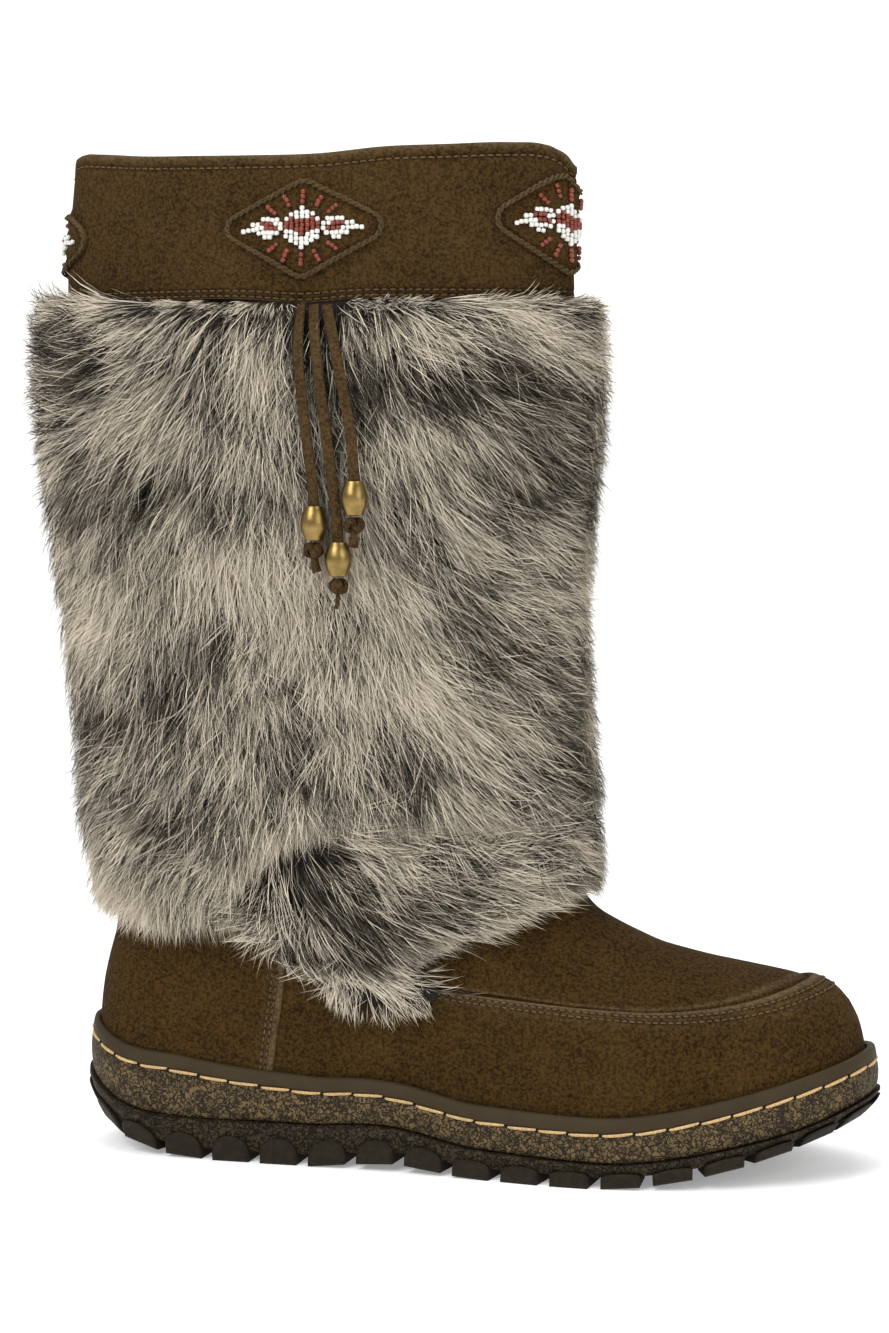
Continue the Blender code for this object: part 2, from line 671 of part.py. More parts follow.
def make_patch(name, share, lift):
    """Diamond of suede on the cuff. Its columns are the cuff's own, so the two lie flat together."""
    stand = GAP + CUFF_WALL + GAP
    centre = COLLAR_HEIGHT - CUFF_DEPTH + PATCH_RISE + PATCH_HEIGHT * lift
    wide = np.linspace(-COLUMNS, COLUMNS, 2 * COLUMNS * 8 + 1)
    steps = np.linalg.norm(np.diff(on_cuff(wide, centre, stand), axis=0), axis=1)
    run = np.concatenate([[0.0], np.cumsum(steps)])
    middle = np.interp(COLUMNS / 2, wide, run) - share * run[-1] / 2.0
    left, mid, right = np.interp(middle + np.array([-0.5, 0.0, 0.5]) * PATCH_WIDTH, run, wide)
    whole = np.arange(np.floor(left) + 1.0, np.ceil(right))
    whole = whole[np.abs(whole - mid) > 0.1]
    columns = np.sort(np.concatenate([[left, mid, right], whole]))
    off_middle = np.abs(np.interp(columns, wide, run) - middle) / (PATCH_WIDTH / 2.0)
    half = PATCH_HEIGHT / 2.0 * np.clip(1.0 - off_middle, PATCH_BLUNT, 1.0)
    outer, inner = (
        np.array([on_cuff(columns, centre + side * half, out) for side in (-1.0, 0.0, 1.0)])
        for out in (stand + PATCH_THICKNESS, stand)
    )
    return panel(name, outer, inner, "suede")


def on_cuff(column, height, out):
    """A point over the flat of the cuff, which runs straight from its lower edge to the collar."""
    part = (np.asarray(height) - (COLLAR_HEIGHT - CUFF_DEPTH)) / CUFF_DEPTH
    part = (part + 0.0 * column)[..., None]
    bottom = skin_on_columns(column, COLLAR_HEIGHT - CUFF_DEPTH, out)
    top = skin_on_columns(column, COLLAR_HEIGHT, out)
    return bottom * (1.0 - part) + top * part


def lock_wave(column, down):
    """Saw-tooth of the locks: each lock swells towards its tip, and its neighbour lies half a lock off."""
    turn = down / LOCK_LENGTH + 0.5 * (column % 2) + LOCK_SCATTER * np.sin(2.4 * column)
    return turn - np.floor(turn)


def make_fur_shaft():
    """Long-haired tube from under the cuff to the ankle, with rows of locks on its outside."""
    column = np.arange(COLUMNS)
    share = share_of(PHI)
    top = COLLAR_HEIGHT - CUFF_DEPTH - GAP
    hem = COLLAR_HEIGHT * smooth(share, FUR_HEM["share"], FUR_HEM["height"])
    steps = int(round((top - THROAT_HEIGHT) / LOCK_LENGTH * ROWS_PER_LOCK))
    rows = []
    for k in range(steps + 1):
        part = k / steps
        jag = LOCK_JAG * (column % 2) * (1.0 - part) ** 3
        height = hem + jag + (top - hem - jag) * part
        depth = PILE * smooth(part, FUR_DEPTH["height"], FUR_DEPTH["share"])
        locks = 1.0 - LOCK_DEPTH * (1.0 - lock_wave(column, top - height))
        shade = ease(0.0, SHADE_DEPTH, top - height)
        out = FUR_CLEARANCE + CUFF_SHADE + (depth * locks - CUFF_SHADE) * shade
        rows.append(skin(PHI, level_at(share, height), out))
    hem_level = level_at(share, hem + LOCK_JAG * (column % 2))
    rows.append(skin(PHI, level_at(share, top), FUR_CLEARANCE + 0.0 * share))
    levels = VAMP_LEVELS[-2:] + shaft_levels()[:-2]
    for k, level in reversed(list(enumerate(levels))):
        rows.append(skin(PHI, np.maximum(level, hem_level + ROW_STEP * (k + 1)), FUR_CLEARANCE + 0.0 * share))
    rows.append(skin(PHI, hem_level, FUR_CLEARANCE + 0.0 * share))
    return ring_solid("fur_shaft", rows, "fur")


def make_fur_flap():
    """Fur wrap round the instep, with a hanging point on each side of the foot."""
    edge = np.arccos(1.0 - 2.0 * FLAP_FROM)
    inside = PHI[(PHI > edge + EDGE_ROOM) & (PHI < 2.0 * np.pi - edge - EDGE_ROOM)]
    phi = np.concatenate([[edge], inside, [2.0 * np.pi - edge]])
    column = np.arange(len(phi))
    share = share_of(phi)
    top = COLLAR_HEIGHT * smooth(share, FUR_HEM["share"], FUR_HEM["height"]) - 3.0 * GAP
    low = COLLAR_HEIGHT * smooth(share, FLAP_HEM["share"], FLAP_HEM["height"])
    seat = GAP + TOE_WALL_THICKNESS + FLAP_CLEARANCE
    outer = []
    inner = []
    for k in range(FLAP_ROWS + 1):
        part = k / FLAP_ROWS
        jag = LOCK_JAG * (column % 2) * (1.0 - part)
        height = low + jag + (top - low - jag) * part
        locks = 1.0 - LOCK_DEPTH * (1.0 - lock_wave(column, top - height))
        round_off = np.sin(np.pi * np.clip(0.12 + 0.62 * part, 0.0, 1.0)) ** 0.6
        ends = ease(0.0, FLAP_END_TURN, np.minimum(phi - edge, 2.0 * np.pi - edge - phi))
        depth = FLAP_EDGE + (FLAP_PILE * locks - FLAP_EDGE) * round_off * ends
        level = level_at(share, height)
        outer.append(skin(phi, level, seat + depth))
        inner.append(skin(phi, level, seat + 0.0 * share))
    return panel("fur_flap", outer, inner, "fur")


def make_thong(name, route):
    """Round stand-in for a flat suede thong, on a soft curve through its route."""
    route = np.array(route)
    knots = np.arange(len(route))
    fine = np.linspace(0.0, len(route) - 1.0, 14)
    points = np.stack([smooth(fine, knots, route[:, k]) for k in range(3)], axis=1)
    curve = bpy.data.curves.new("thong_" + name, "CURVE")
    curve.dimensions = "3D"
    curve.bevel_depth = THONG_DIAMETER / 2.0
    curve.bevel_resolution = 1
    curve.use_fill_caps = True
    curve.materials.append(material("thong"))
    spline = curve.splines.new("POLY")
    spline.points.add(len(points) - 1)
    for point, place in zip(spline.points, points):
        point.co = (*place, 1.0)
    thong = bpy.data.objects.new("thong_" + name, curve)
    bpy.context.scene.collection.objects.link(thong)
    return thong


def make_bead(name, route):
    """Barrel bead threaded on the thong just above its end."""
    half = BEAD_LENGTH / 2.0
    outer = [(BEAD_END_RADIUS + (BEAD_RADIUS - BEAD_END_RADIUS) * np.sin(a), -half * np.cos(a))
             for a in np.linspace(0.0, np.pi, 6)]
    bore = [(BEAD_BORE_RADIUS, half), (BEAD_BORE_RADIUS, -half)]
    bead = lathe("bead_" + name, outer + bore, "bead", closed=True)
    x, y, z = route[-1]
    bead.location = (x, y, z + half + GAP)
    return bead


def make_knot(name, route):
    """End of the thong, tied below the bead, with its short tail."""
    profile = [
        (KNOT_RADIUS * 0.60, 0.0),
        (KNOT_RADIUS, -KNOT_LENGTH * 0.28),
        (KNOT_RADIUS * 0.96, -KNOT_LENGTH * 0.65),
        (TAIL_RADIUS, -KNOT_LENGTH),
        (TAIL_RADIUS, -KNOT_LENGTH - TAIL_LENGTH),
    ]
    knot = lathe("knot_" + name, profile[::-1], "thong", sides=8)
    x, y, z = route[-1]
    knot.location = (x, y, z - GAP)
    return knot


def main():
    for old in list(bpy.data.objects):
        bpy.data.objects.remove(old)
    make_outsole()
    make_midsole()
    make_welt()
    make_insole()
    make_upper()
    make_counter()
    make_toe_wall()
    make_cuff()
    for name, (share, lift) in PATCHES.items():
        make_patch(name, share, lift)
    make_fur_shaft()
    make_fur_flap()
    for name, route in THONGS.items():
        make_thong(name, route)
        make_bead(name, route)
        make_knot(name, route)


main()
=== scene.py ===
# %% [markdown]
# A tall winter boot, made piece by piece.
# The boot has a suede foot on a lugged rubber cup sole, a shaft of long fur, and a suede cuff with
# beaded diamonds and a tassel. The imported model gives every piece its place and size. This lesson
# makes the surfaces that the eye sees: nap, pebbled rubber, stitches, beads and about 183 000 hairs.

import bmesh
import bpy
import numpy as np
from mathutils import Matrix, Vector


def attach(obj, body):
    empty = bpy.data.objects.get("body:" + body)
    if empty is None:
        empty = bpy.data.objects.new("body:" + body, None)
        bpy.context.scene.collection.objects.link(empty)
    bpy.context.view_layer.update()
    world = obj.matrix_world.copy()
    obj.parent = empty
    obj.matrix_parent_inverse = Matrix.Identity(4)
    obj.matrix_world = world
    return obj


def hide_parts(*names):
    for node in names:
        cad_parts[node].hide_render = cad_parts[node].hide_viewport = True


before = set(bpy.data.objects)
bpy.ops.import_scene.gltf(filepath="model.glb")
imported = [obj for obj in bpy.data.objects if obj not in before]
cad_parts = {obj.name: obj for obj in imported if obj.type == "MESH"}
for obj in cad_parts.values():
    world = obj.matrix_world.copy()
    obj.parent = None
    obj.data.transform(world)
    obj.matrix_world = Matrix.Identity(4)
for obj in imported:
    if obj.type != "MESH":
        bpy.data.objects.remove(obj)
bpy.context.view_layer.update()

# %% [markdown]
# The camera comes first. The photograph looks at the outer side of a right boot, a little from the
# front and a little from above. A long lens keeps the shaft's sides nearly parallel, so the camera
# stands more than a metre away. All distances are in metres.

# %% Camera
CAMERA_TARGET = np.array([0.0692, 0.0, 0.1712])
CAMERA_AZIMUTH = np.radians(12.0)
CAMERA_ELEVATION = np.radians(3.93)
CAMERA_DISTANCE = 1.150
CAMERA_LENS = 88.7

camera_data = bpy.data.cameras.new("camera")
camera_data.lens = CAMERA_LENS
camera_data.sensor_width = 36.0
camera = bpy.data.objects.new("camera", camera_data)
bpy.context.scene.collection.objects.link(camera)
backwards = np.array([
    np.sin(CAMERA_AZIMUTH) * np.cos(CAMERA_ELEVATION),
    -np.cos(CAMERA_AZIMUTH) * np.cos(CAMERA_ELEVATION),
    np.sin(CAMERA_ELEVATION),
])
camera.location = CAMERA_TARGET + CAMERA_DISTANCE * backwards
camera.rotation_euler = Vector(-backwards).to_track_quat("-Z", "Y").to_euler()
bpy.context.scene.camera = camera

# %% [markdown]
# The boot is described by a turning angle phi: 0 at the heel, a quarter turn on the outer side, a
# half turn at the toe. The share, (1 - cos phi) / 2, is how far along the foot a point lies. The
# tables hold shares of the sizes that they follow. They are the sizes of the solid model, so every
# new surface lies where its solid does.

# %% Sizes of the sole and the upper
SOLE_LENGTH = 0.282
BALL_BREADTH = 0.100
HEEL_CENTRE = 0.060
TOE_SPRING = 0.022
HEEL_KICK = 0.0145
ARCH_RISE = 0.0028
TREAD_DEPTH = 0.0145
RAND_DEPTH = 0.012
COLLAR_HEIGHT = 0.350
THROAT_HEIGHT = 0.105
LUG_HEIGHT = 0.0035
LUG_TUCK = 0.0065
NOTCH_SHARE = 0.42
UPPER_WALL = 0.0022
UPPER_INSET = 0.0072
UPPER_BULGE = 0.035
CUFF_DEPTH = 0.052
CUFF_WALL = 0.0020
GAP = 0.0003
MM = 0.001
KICK_UNTIL, KICK_POWER = 0.18, 2.0
SPRING_FROM, SPRING_POWER = 0.68, 1.7
ARCH_AT, ARCH_HALF = 0.42, 0.11

FOOTPRINT = {
    "share": (0.00, 0.05, 0.15, 0.25, 0.40, 0.55, 0.65, 0.75, 0.85, 0.93, 1.00),
    "outer": (0.66, 0.62, 0.475, 0.41, 0.39, 0.45, 0.52, 0.565, 0.595, 0.61, 0.62),
    "inner": (0.66, 0.62, 0.470, 0.40, 0.315, 0.40, 0.50, 0.555, 0.610, 0.65, 0.66),
}
SIDE = {
    "share": (0.00, 0.07, 0.14, 0.22, 0.34, 0.50, 0.68, 0.83, 0.93, 1.00),
    "tread": (0.95, 0.87, 0.98, 1.00, 0.97, 0.72, 0.57, 0.52, 0.44, 0.47),
    "rand": (1.08, 1.25, 1.29, 1.06, 0.86, 0.76, 0.77, 0.88, 0.92, 0.80),
}
TUCK = {
    "share": (0.00, 0.06, 0.16, 0.30, 0.70, 0.86, 0.95, 1.00),
    "inset": (1.00, 0.80, 0.30, 0.00, 0.00, 0.35, 0.80, 1.00),
}
SECTIONS = {
    "height": (0.057, 0.094, 0.129, 0.154, 0.171, 0.184, 0.191, 0.197, 0.203, 0.213, 0.227,
               0.249, 0.277, 0.320, 0.400, 0.529, 0.671, 0.852, 1.000),
    "back": (0.0225, 0.0215, 0.0220, 0.0245, 0.0275, 0.0310, 0.0330, 0.0350, 0.0370, 0.0405, 0.0440,
             0.0480, 0.0485, 0.0440, 0.0310, 0.0130, -0.0100, -0.0185, -0.0095),
    "front": (0.9765, 0.9775, 0.9735, 0.9630, 0.9480, 0.9240, 0.8900, 0.8440, 0.7980, 0.7480, 0.7020,
              0.6540, 0.6240, 0.6090, 0.5990, 0.5920, 0.5990, 0.6130, 0.6145),
    "breadth": (0.370, 0.370, 0.370, 0.370, 0.370, 0.370, 0.370, 0.370, 0.370, 0.370, 0.370,
                0.370, 0.372, 0.375, 0.372, 0.362, 0.345, 0.320, 0.305),
    "pinch": (0.00, 0.00, 0.00, 0.00, 0.00, 0.00, 0.00, 0.00, 0.00, 0.00, 0.00,
              0.00, 0.00, 0.00, 0.05, 0.15, 0.35, 0.50, 0.55),
}
FOOT_UNTIL, SHAFT_FROM = 0.10, 0.29
SEAM = {
    "share": (0.00, 0.20, 0.35, 0.50, 0.62, 0.72, 0.80, 0.88, 0.94, 1.00),
    "height": (0.215, 0.210, 0.195, 0.181, 0.173, 0.167, 0.164, 0.167, 0.174, 0.187),
}
FUR_HEM = {
    "share": (0.00, 0.065, 0.20, 0.31, 0.35, 0.40, 0.47, 0.58, 0.75, 0.93, 1.00),
    "height": (0.254, 0.246, 0.251, 0.260, 0.297, 0.320, 0.337, 0.349, 0.350, 0.351, 0.360),
}
FLAP_HEM = {
    "share": (0.33, 0.35, 0.38, 0.42, 0.48, 0.54, 0.60, 0.67, 0.76, 0.85, 0.93, 1.00),
    "height": (0.171, 0.160, 0.155, 0.154, 0.157, 0.189, 0.204, 0.217, 0.230, 0.241, 0.256, 0.266),
}


def smooth(at, stations, values):
    """A soft curve through the values: cubic pieces whose slopes join."""
    stations = np.asarray(stations, float)
    values = np.asarray(values, float)
    slopes = np.gradient(values, stations)
    k = np.clip(np.searchsorted(stations, at, side="right") - 1, 0, len(stations) - 2)
    gap = stations[k + 1] - stations[k]
    u = np.clip((at - stations[k]) / gap, 0.0, 1.0)
    rise = u * u * (3.0 - 2.0 * u)
    lead = u * (1.0 - u) ** 2 * gap * slopes[k]
    lag = u * u * (u - 1.0) * gap * slopes[k + 1]
    return values[k] * (1.0 - rise) + values[k + 1] * rise + lead + lag


def ease(low, high, at):
    """0 below low, 1 above high, and a soft step between."""
    u = np.clip((at - low) / (high - low), 0.0, 1.0)
    return u * u * (3.0 - 2.0 * u)


def share_of(phi):
    """Part of the way along the foot: one minus the cosine, halved."""
    return (1.0 - np.cos(phi)) / 2.0


def stack(x, y, z):
    """Points from their coordinates, with x measured from the back of the sole."""
    return np.stack(np.broadcast_arrays(x - HEEL_CENTRE, y, z), axis=-1)


# %% [markdown]
# The sole seen from the side: the ground line has a heel kick, a small arch and a toe spring. The
# tread and the rand stand on it, each with its own depth. From above, the edge is the sine of phi
# times a fullness that is read from the footprint's table.

# %% Lines of the sole
def ground_line(along):
    """Height of the tread's lowest surface: flat, plus kick, spring and arch."""
    kick = HEEL_KICK * np.clip((KICK_UNTIL - along) / KICK_UNTIL, 0.0, 1.0) ** KICK_POWER
    spring = TOE_SPRING * np.clip((along - SPRING_FROM) / (1.0 - SPRING_FROM), 0.0, 1.0) ** SPRING_POWER
    arch = ARCH_RISE * np.clip(1.0 - ((along - ARCH_AT) / ARCH_HALF) ** 2, 0.0, 1.0) ** 2
    return kick + spring + arch


def tread_top(along):
    """Ground line plus the tread's depth there."""
    return ground_line(along) + TREAD_DEPTH * smooth(along, SIDE["share"], SIDE["tread"])


def notch_line(along):
    """Roof of the notches between the lugs, lower where the tread is thin."""
    ground = ground_line(along)
    return ground + np.minimum(LUG_HEIGHT, NOTCH_SHARE * (tread_top(along) - ground))


def tuck_at(share):
    """How far the tread's lower edge is drawn in, at heel and toe."""
    return LUG_TUCK * smooth(share, TUCK["share"], TUCK["inset"])


def rand_top(along):
    """Top of the tread plus the rand's depth there."""
    return tread_top(along) + RAND_DEPTH * smooth(along, SIDE["share"], SIDE["rand"])


def fullness(share, phi):
    """Half breadth before the sine of phi, from the outer or the inner column."""
    outer = smooth(share, FOOTPRINT["share"], FOOTPRINT["outer"])
    inner = smooth(share, FOOTPRINT["share"], FOOTPRINT["inner"])
    return BALL_BREADTH * np.where(np.sin(phi) >= 0.0, outer, inner)


def sole_edge(phi, inset=0.0):
    """Outline of the sole from above, moved inwards by inset along its normal."""
    def plain(angle):
        share = share_of(angle)
        return SOLE_LENGTH * share, -np.sin(angle) * fullness(share, angle)

    turn = 1e-4
    x0, y0 = plain(phi - turn)
    x1, y1 = plain(phi + turn)
    length = np.hypot(x1 - x0, y1 - y0)
    x, y = plain(phi)
    return x - inset * (y1 - y0) / length, y + inset * (x1 - x0) / length


def sole_ring(phi, inset, height_line, lift=0.0):
    """The sole's outline, drawn in by inset, at the height that a line gives, plus lift."""
    x, y = sole_edge(phi, inset)
    return stack(x, y, height_line(np.clip(x / SOLE_LENGTH, 0.0, 1.0)) + lift)


# %% [markdown]
# The upper is one surface from the sole edge, level 0, past the apron seam, 1, and the throat, 2,
# to the collar, 3. A ring's ends lie on the boot's side outline, and its breadth changes from the
# foot's to the shaft's. A frame of normal, upward and forward directions at each point lets a panel,
# a stitch or a hair stand on it.

# %% The upper's surface
def feather_height(share):
    """Where the upper meets the sole: the top of the rand, plus a small gap."""
    back = SECTIONS["back"][0] * SOLE_LENGTH
    front = SECTIONS["front"][0] * SOLE_LENGTH
    return rand_top((back + (front - back) * share) / SOLE_LENGTH) + GAP


def seam_height(share):
    """Height of the apron seam, from its table."""
    return COLLAR_HEIGHT * smooth(share, SEAM["share"], SEAM["height"])


def guide_heights(share):
    """Heights of the levels 0, 1, 2 and 3."""
    flat = 0.0 * share
    return feather_height(share), seam_height(share), THROAT_HEIGHT + flat, COLLAR_HEIGHT + flat


def height_at(share, level):
    """Height of a level, in straight steps between the four guides."""
    guides = guide_heights(share)
    height = guides[0] + 0.0 * level
    for k in range(3):
        height = height + (guides[k + 1] - guides[k]) * np.clip(level - k, 0.0, 1.0)
    return height


def level_at(share, height):
    """Level of a height: the reverse of height_at."""
    guides = guide_heights(share)
    level = 0.0
    for k in range(3):
        level = level + np.clip((height - guides[k]) / (guides[k + 1] - guides[k]), 0.0, 1.0)
    return level


def section(column, height):
    """One column of the sections, read at a height."""
    return smooth(height / COLLAR_HEIGHT, SECTIONS["height"], SECTIONS[column])


def upper_point(phi, level):
    """x runs between the outline's ends; y is sin(phi) times a mix of foot and shaft breadth."""
    share = share_of(phi)
    height = height_at(share, level)
    back = SOLE_LENGTH * section("back", height_at(0.0 * share, level))
    front = SOLE_LENGTH * section("front", height_at(0.0 * share + 1.0, level))
    x = back + (front - back) * share
    foot = fullness(np.clip(x / SOLE_LENGTH, 0.0, 1.0), phi) - UPPER_INSET
    foot = foot * (1.0 + UPPER_BULGE * np.sin(np.pi * np.clip(level, 0.0, 1.0)))
    mixed = ease(FOOT_UNTIL, SHAFT_FROM, height / COLLAR_HEIGHT)
    half = foot * (1.0 - mixed) + BALL_BREADTH * section("breadth", height) * mixed
    turn = np.sin(phi)
    taper = np.abs(turn) ** np.maximum(section("pinch", height), 0.0)
    return stack(x, -turn * taper * half, height)


def speed_round(phi, level):
    """Distance on the upper for one radian of phi, from two points close to each other."""
    ahead, behind = upper_point(phi + 0.01, level), upper_point(phi - 0.01, level)
    return np.linalg.norm(ahead - behind, axis=-1) / 0.02


def unit(vectors):
    """Each vector over its own length."""
    return vectors / np.maximum(np.linalg.norm(vectors, axis=-1, keepdims=True), 1e-12)


def upper_frame(phi, level):
    """Point, outward normal, and the directions of growing phi and of growing level."""
    phi, level = np.broadcast_arrays(np.asarray(phi, float), np.asarray(level, float))
    around = upper_point(phi + 0.02, level) - upper_point(phi - 0.02, level)
    above, below = np.clip(level + 0.01, 0.0, 3.0), np.clip(level - 0.01, 0.0, 3.0)
    upward = upper_point(phi, above) - upper_point(phi, below)
    normal = unit(np.cross(around, upward))
    return upper_point(phi, level), normal, unit(around), unit(upward)


def skin(phi, level, out=0.0):
    """A point that stands out from the upper by the given distance."""
    point, normal, _, _ = upper_frame(phi, level)
    return point + normal * (np.asarray(out, float)[..., None] + np.zeros(point.shape[:-1] + (1,)))


# How far the worn collar lies under its full height, in millimetres, along its two sides
COLLAR = {
    "share": (0.0, 0.004, 0.015, 0.03, 0.06, 0.175, 0.29, 0.40,
              0.54, 0.67, 0.78, 0.90, 0.95, 0.97, 0.985, 1.0),
    "drop": (4.5, 1.75, 0.1, -0.4, 0.0, 1.9, 2.6, 3.0,
             2.8, 0.6, -0.2, -1.2, -1.0, 0.0, 2.0, 5.5),
}


def collar_drop(share):
    """The collar's drop in metres, from its table."""
    return MM * smooth(share, COLLAR["share"], COLLAR["drop"])


def settled(points, phi):
    """The points with the collar's drop, which fades out below it."""
    moved = points.copy()
    moved[..., 2] -= collar_drop(share_of(phi)) * ease(COLLAR_HEIGHT - 0.040, COLLAR_HEIGHT, points[..., 2])
    return moved


# %% [markdown]
# New meshes are grids of points. A row of the grid may close on itself, and so may a column. One
# helper turns a grid into quads, another sweeps many small cross-sections along many short paths at
# once: it makes stitches, ropes and thongs.

# %% Mesh helpers
SHARP_ANGLE = 0.9


def quads(rows, columns, wrap_rows=False, wrap_columns=False, start=0):
    """Vertex numbers of the quads between neighbouring rows and columns of a grid."""
    i = np.arange(rows if wrap_rows else rows - 1)[:, None]
    j = np.arange(columns if wrap_columns else columns - 1)[None, :]
    below = start + i * columns
    above = start + (i + 1) % rows * columns
    k = (j + 1) % columns
    return np.stack([below + j, below + k, above + k, above + j], axis=-1).reshape(-1, 4)


def add_piece(name, vertices, faces, material, replaces=(), smooth_shading=True, wear_and_shade=None):
    """A mesh object in the scene that rides on the boot's one body.

    One number for each vertex, partly wear and partly shade: above 0 the nap is rubbed pale, below 0 it is
    painted shade, dark where grooves, creases and edges lie in shadow.
    """
    mesh = bpy.data.meshes.new(name)
    mesh.from_pydata(np.asarray(vertices).reshape(-1, 3).tolist(), [], [list(f) for f in faces])
    mesh.materials.append(material)
    work = bmesh.new()
    work.from_mesh(mesh)
    bmesh.ops.recalc_face_normals(work, faces=work.faces)
    work.to_mesh(mesh)
    work.free()
    if wear_and_shade is not None:
        layer = mesh.attributes.new("wear_and_shade", "FLOAT", "POINT")
        layer.data.foreach_set("value", np.ravel(wear_and_shade).astype(np.float32))
    if smooth_shading:
        mesh.shade_smooth()
        mesh.set_sharp_from_angle(angle=SHARP_ANGLE)
    piece = bpy.data.objects.new(name, mesh)
    bpy.context.scene.collection.objects.link(piece)
    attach(piece, "root")
    if replaces:
        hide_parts(*replaces)
    print(name, len(mesh.polygons), "faces")
    return piece


def band(name, rows, material, replaces=(), wear_and_shade=None):
    """A closed band: rows of the grid run round the boot, and the last row joins the first."""
    rows = np.asarray(rows)
    faces = quads(rows.shape[0], rows.shape[1], True, True).tolist()
    return add_piece(name, rows, faces, material, replaces, wear_and_shade=wear_and_shade)


def open_band(name, rows, material, replaces=(), wear_and_shade=None):
    """A thick sheet: rows join up across the wall, and the two end columns are closed by one face."""
    rows = np.asarray(rows)
    count, columns = rows.shape[:2]
    faces = quads(count, columns, True, False).tolist()
    faces += [[i * columns for i in range(count)], [i * columns + columns - 1 for i in range(count)]]
    return add_piece(name, rows, faces, material, replaces, wear_and_shade=wear_and_shade)


def slab(name, rings, material, replaces=()):
    """A solid with rings for its side, and ladders of flat rungs across its two ends."""
    rings = np.asarray(rings)
    rows, columns = rings.shape[:2]
    faces = quads(rows, columns, False, True).tolist()
    for start in (0, (rows - 1) * columns):
        for j in range(columns // 2):
            rung = [start + j, start + j + 1, start + columns - j - 1, start + (columns - j) % columns]
            faces.append(list(dict.fromkeys(rung)))
    return add_piece(name, rings, faces, material, replaces)


def sweep(paths, ups, width, height, sides=5, squareness=1.0):
    """Vertices and faces of many tubes: paths is (tubes, points, 3), ups their upward directions.

    Each cross-section is an oval with the given half width and half height. A squareness below 1
    draws its corners out towards a rectangle.
    """
    paths = np.asarray(paths, float)
    tubes, points = paths.shape[:2]
    ahead = unit(np.gradient(paths, axis=1))
    side = unit(np.cross(ahead, ups))
    lift = np.cross(side, ahead)
    turn = 2.0 * np.pi * (np.arange(sides) + 0.5) / sides
    across = np.sign(np.cos(turn)) * np.abs(np.cos(turn)) ** squareness
    upright = np.sign(np.sin(turn)) * np.abs(np.sin(turn)) ** squareness
    width = np.broadcast_to(width, (tubes, points))[..., None, None]
    height = np.broadcast_to(height, (tubes, points))[..., None, None]
    rings = (paths[:, :, None, :] + side[:, :, None, :] * across[None, None, :, None] * width
             + lift[:, :, None, :] * upright[None, None, :, None] * height)
    one = quads(points, sides, False, True)
    step = points * sides
    faces = (one[None] + (np.arange(tubes) * step)[:, None, None]).reshape(-1, 4).tolist()
    for first in range(0, tubes * step, step):
        faces.append(list(range(first, first + sides)))
        faces.append(list(range(first + step - sides, first + step)))
    return rings.reshape(-1, 3), faces


def merged(parts):
    """Several (vertices, faces) pairs as one."""
    vertices = []
    faces = []
    for more_vertices, more_faces in parts:
        start = sum(len(v) for v in vertices)
        vertices.append(more_vertices)
        faces += [[start + k for k in face] for face in more_faces]
    return np.concatenate(vertices), faces


# %% [markdown]
# Materials are built from nodes. Effects that several finishes share are node groups: a nap of two
# browns for suede, and a pebble for moulded rubber. Each puts out a colour and a height. The height
# feeds a Bump node in the material, and the shader stays in the material itself.

# %% Node helpers
def group_sockets(name, inputs, outputs):
    """An empty node group with its sockets: each is (name, socket type, value)."""
    group = bpy.data.node_groups.new(name, "ShaderNodeTree")
    for label, kind, value in inputs:
        socket = group.interface.new_socket(name=label, in_out="INPUT", socket_type="NodeSocket" + kind)
        socket.default_value = value
    for label, kind in outputs:
        group.interface.new_socket(name=label, in_out="OUTPUT", socket_type="NodeSocket" + kind)
    return group, group.nodes.new("NodeGroupInput"), group.nodes.new("NodeGroupOutput")


def math_node(tree, operation, first, second=None, third=None):
    """A Math node whose operands are numbers or sockets. Returns its output."""
    made = tree.nodes.new("ShaderNodeMath")
    made.operation = operation
    for socket, operand in zip(made.inputs, (first, second, third)):
        if isinstance(operand, (int, float)):
            socket.default_value = operand
        elif operand is not None:
            tree.links.new(operand, socket)
    return made.outputs[0]


def mix_colours(tree, share, first, second, blend="MIX"):
    """A Mix node for colours, from tuples or sockets."""
    made = tree.nodes.new("ShaderNodeMix")
    made.data_type = "RGBA"
    made.blend_type = blend
    for socket, value in zip((made.inputs[0], made.inputs[6], made.inputs[7]), (share, first, second)):
        if isinstance(value, (int, float, tuple)):
            socket.default_value = value
        else:
            tree.links.new(value, socket)
    return made.outputs[2]


def noise(tree, vector, scale, detail=2.0, rough=0.5):
    """A Noise node, whose scale is a number or a socket. Returns its value."""
    made = tree.nodes.new("ShaderNodeTexNoise")
    made.inputs["Detail"].default_value = detail
    made.inputs["Roughness"].default_value = rough
    if isinstance(scale, (int, float)):
        made.inputs["Scale"].default_value = scale
    else:
        tree.links.new(scale, made.inputs["Scale"])
    tree.links.new(vector, made.inputs["Vector"])
    return made.outputs[0]


def ramped(tree, value, low, high):
    """A Map Range node from low..high to 0..1, clamped and eased."""
    made = tree.nodes.new("ShaderNodeMapRange")
    made.interpolation_type = "SMOOTHSTEP"
    made.inputs["From Min"].default_value = low
    made.inputs["From Max"].default_value = high
    tree.links.new(value, made.inputs["Value"])
    return made.outputs[0]


# Parts of the suede's light and dark that come from broad patches, flecks and grain
PATCH_PART, FLECK_PART, GRAIN_PART = 0.16, 0.22, 0.62
# How far a noise may lie from one half and still be in a crease of the pebbled rubber
CREASE_WIDTH = 0.055


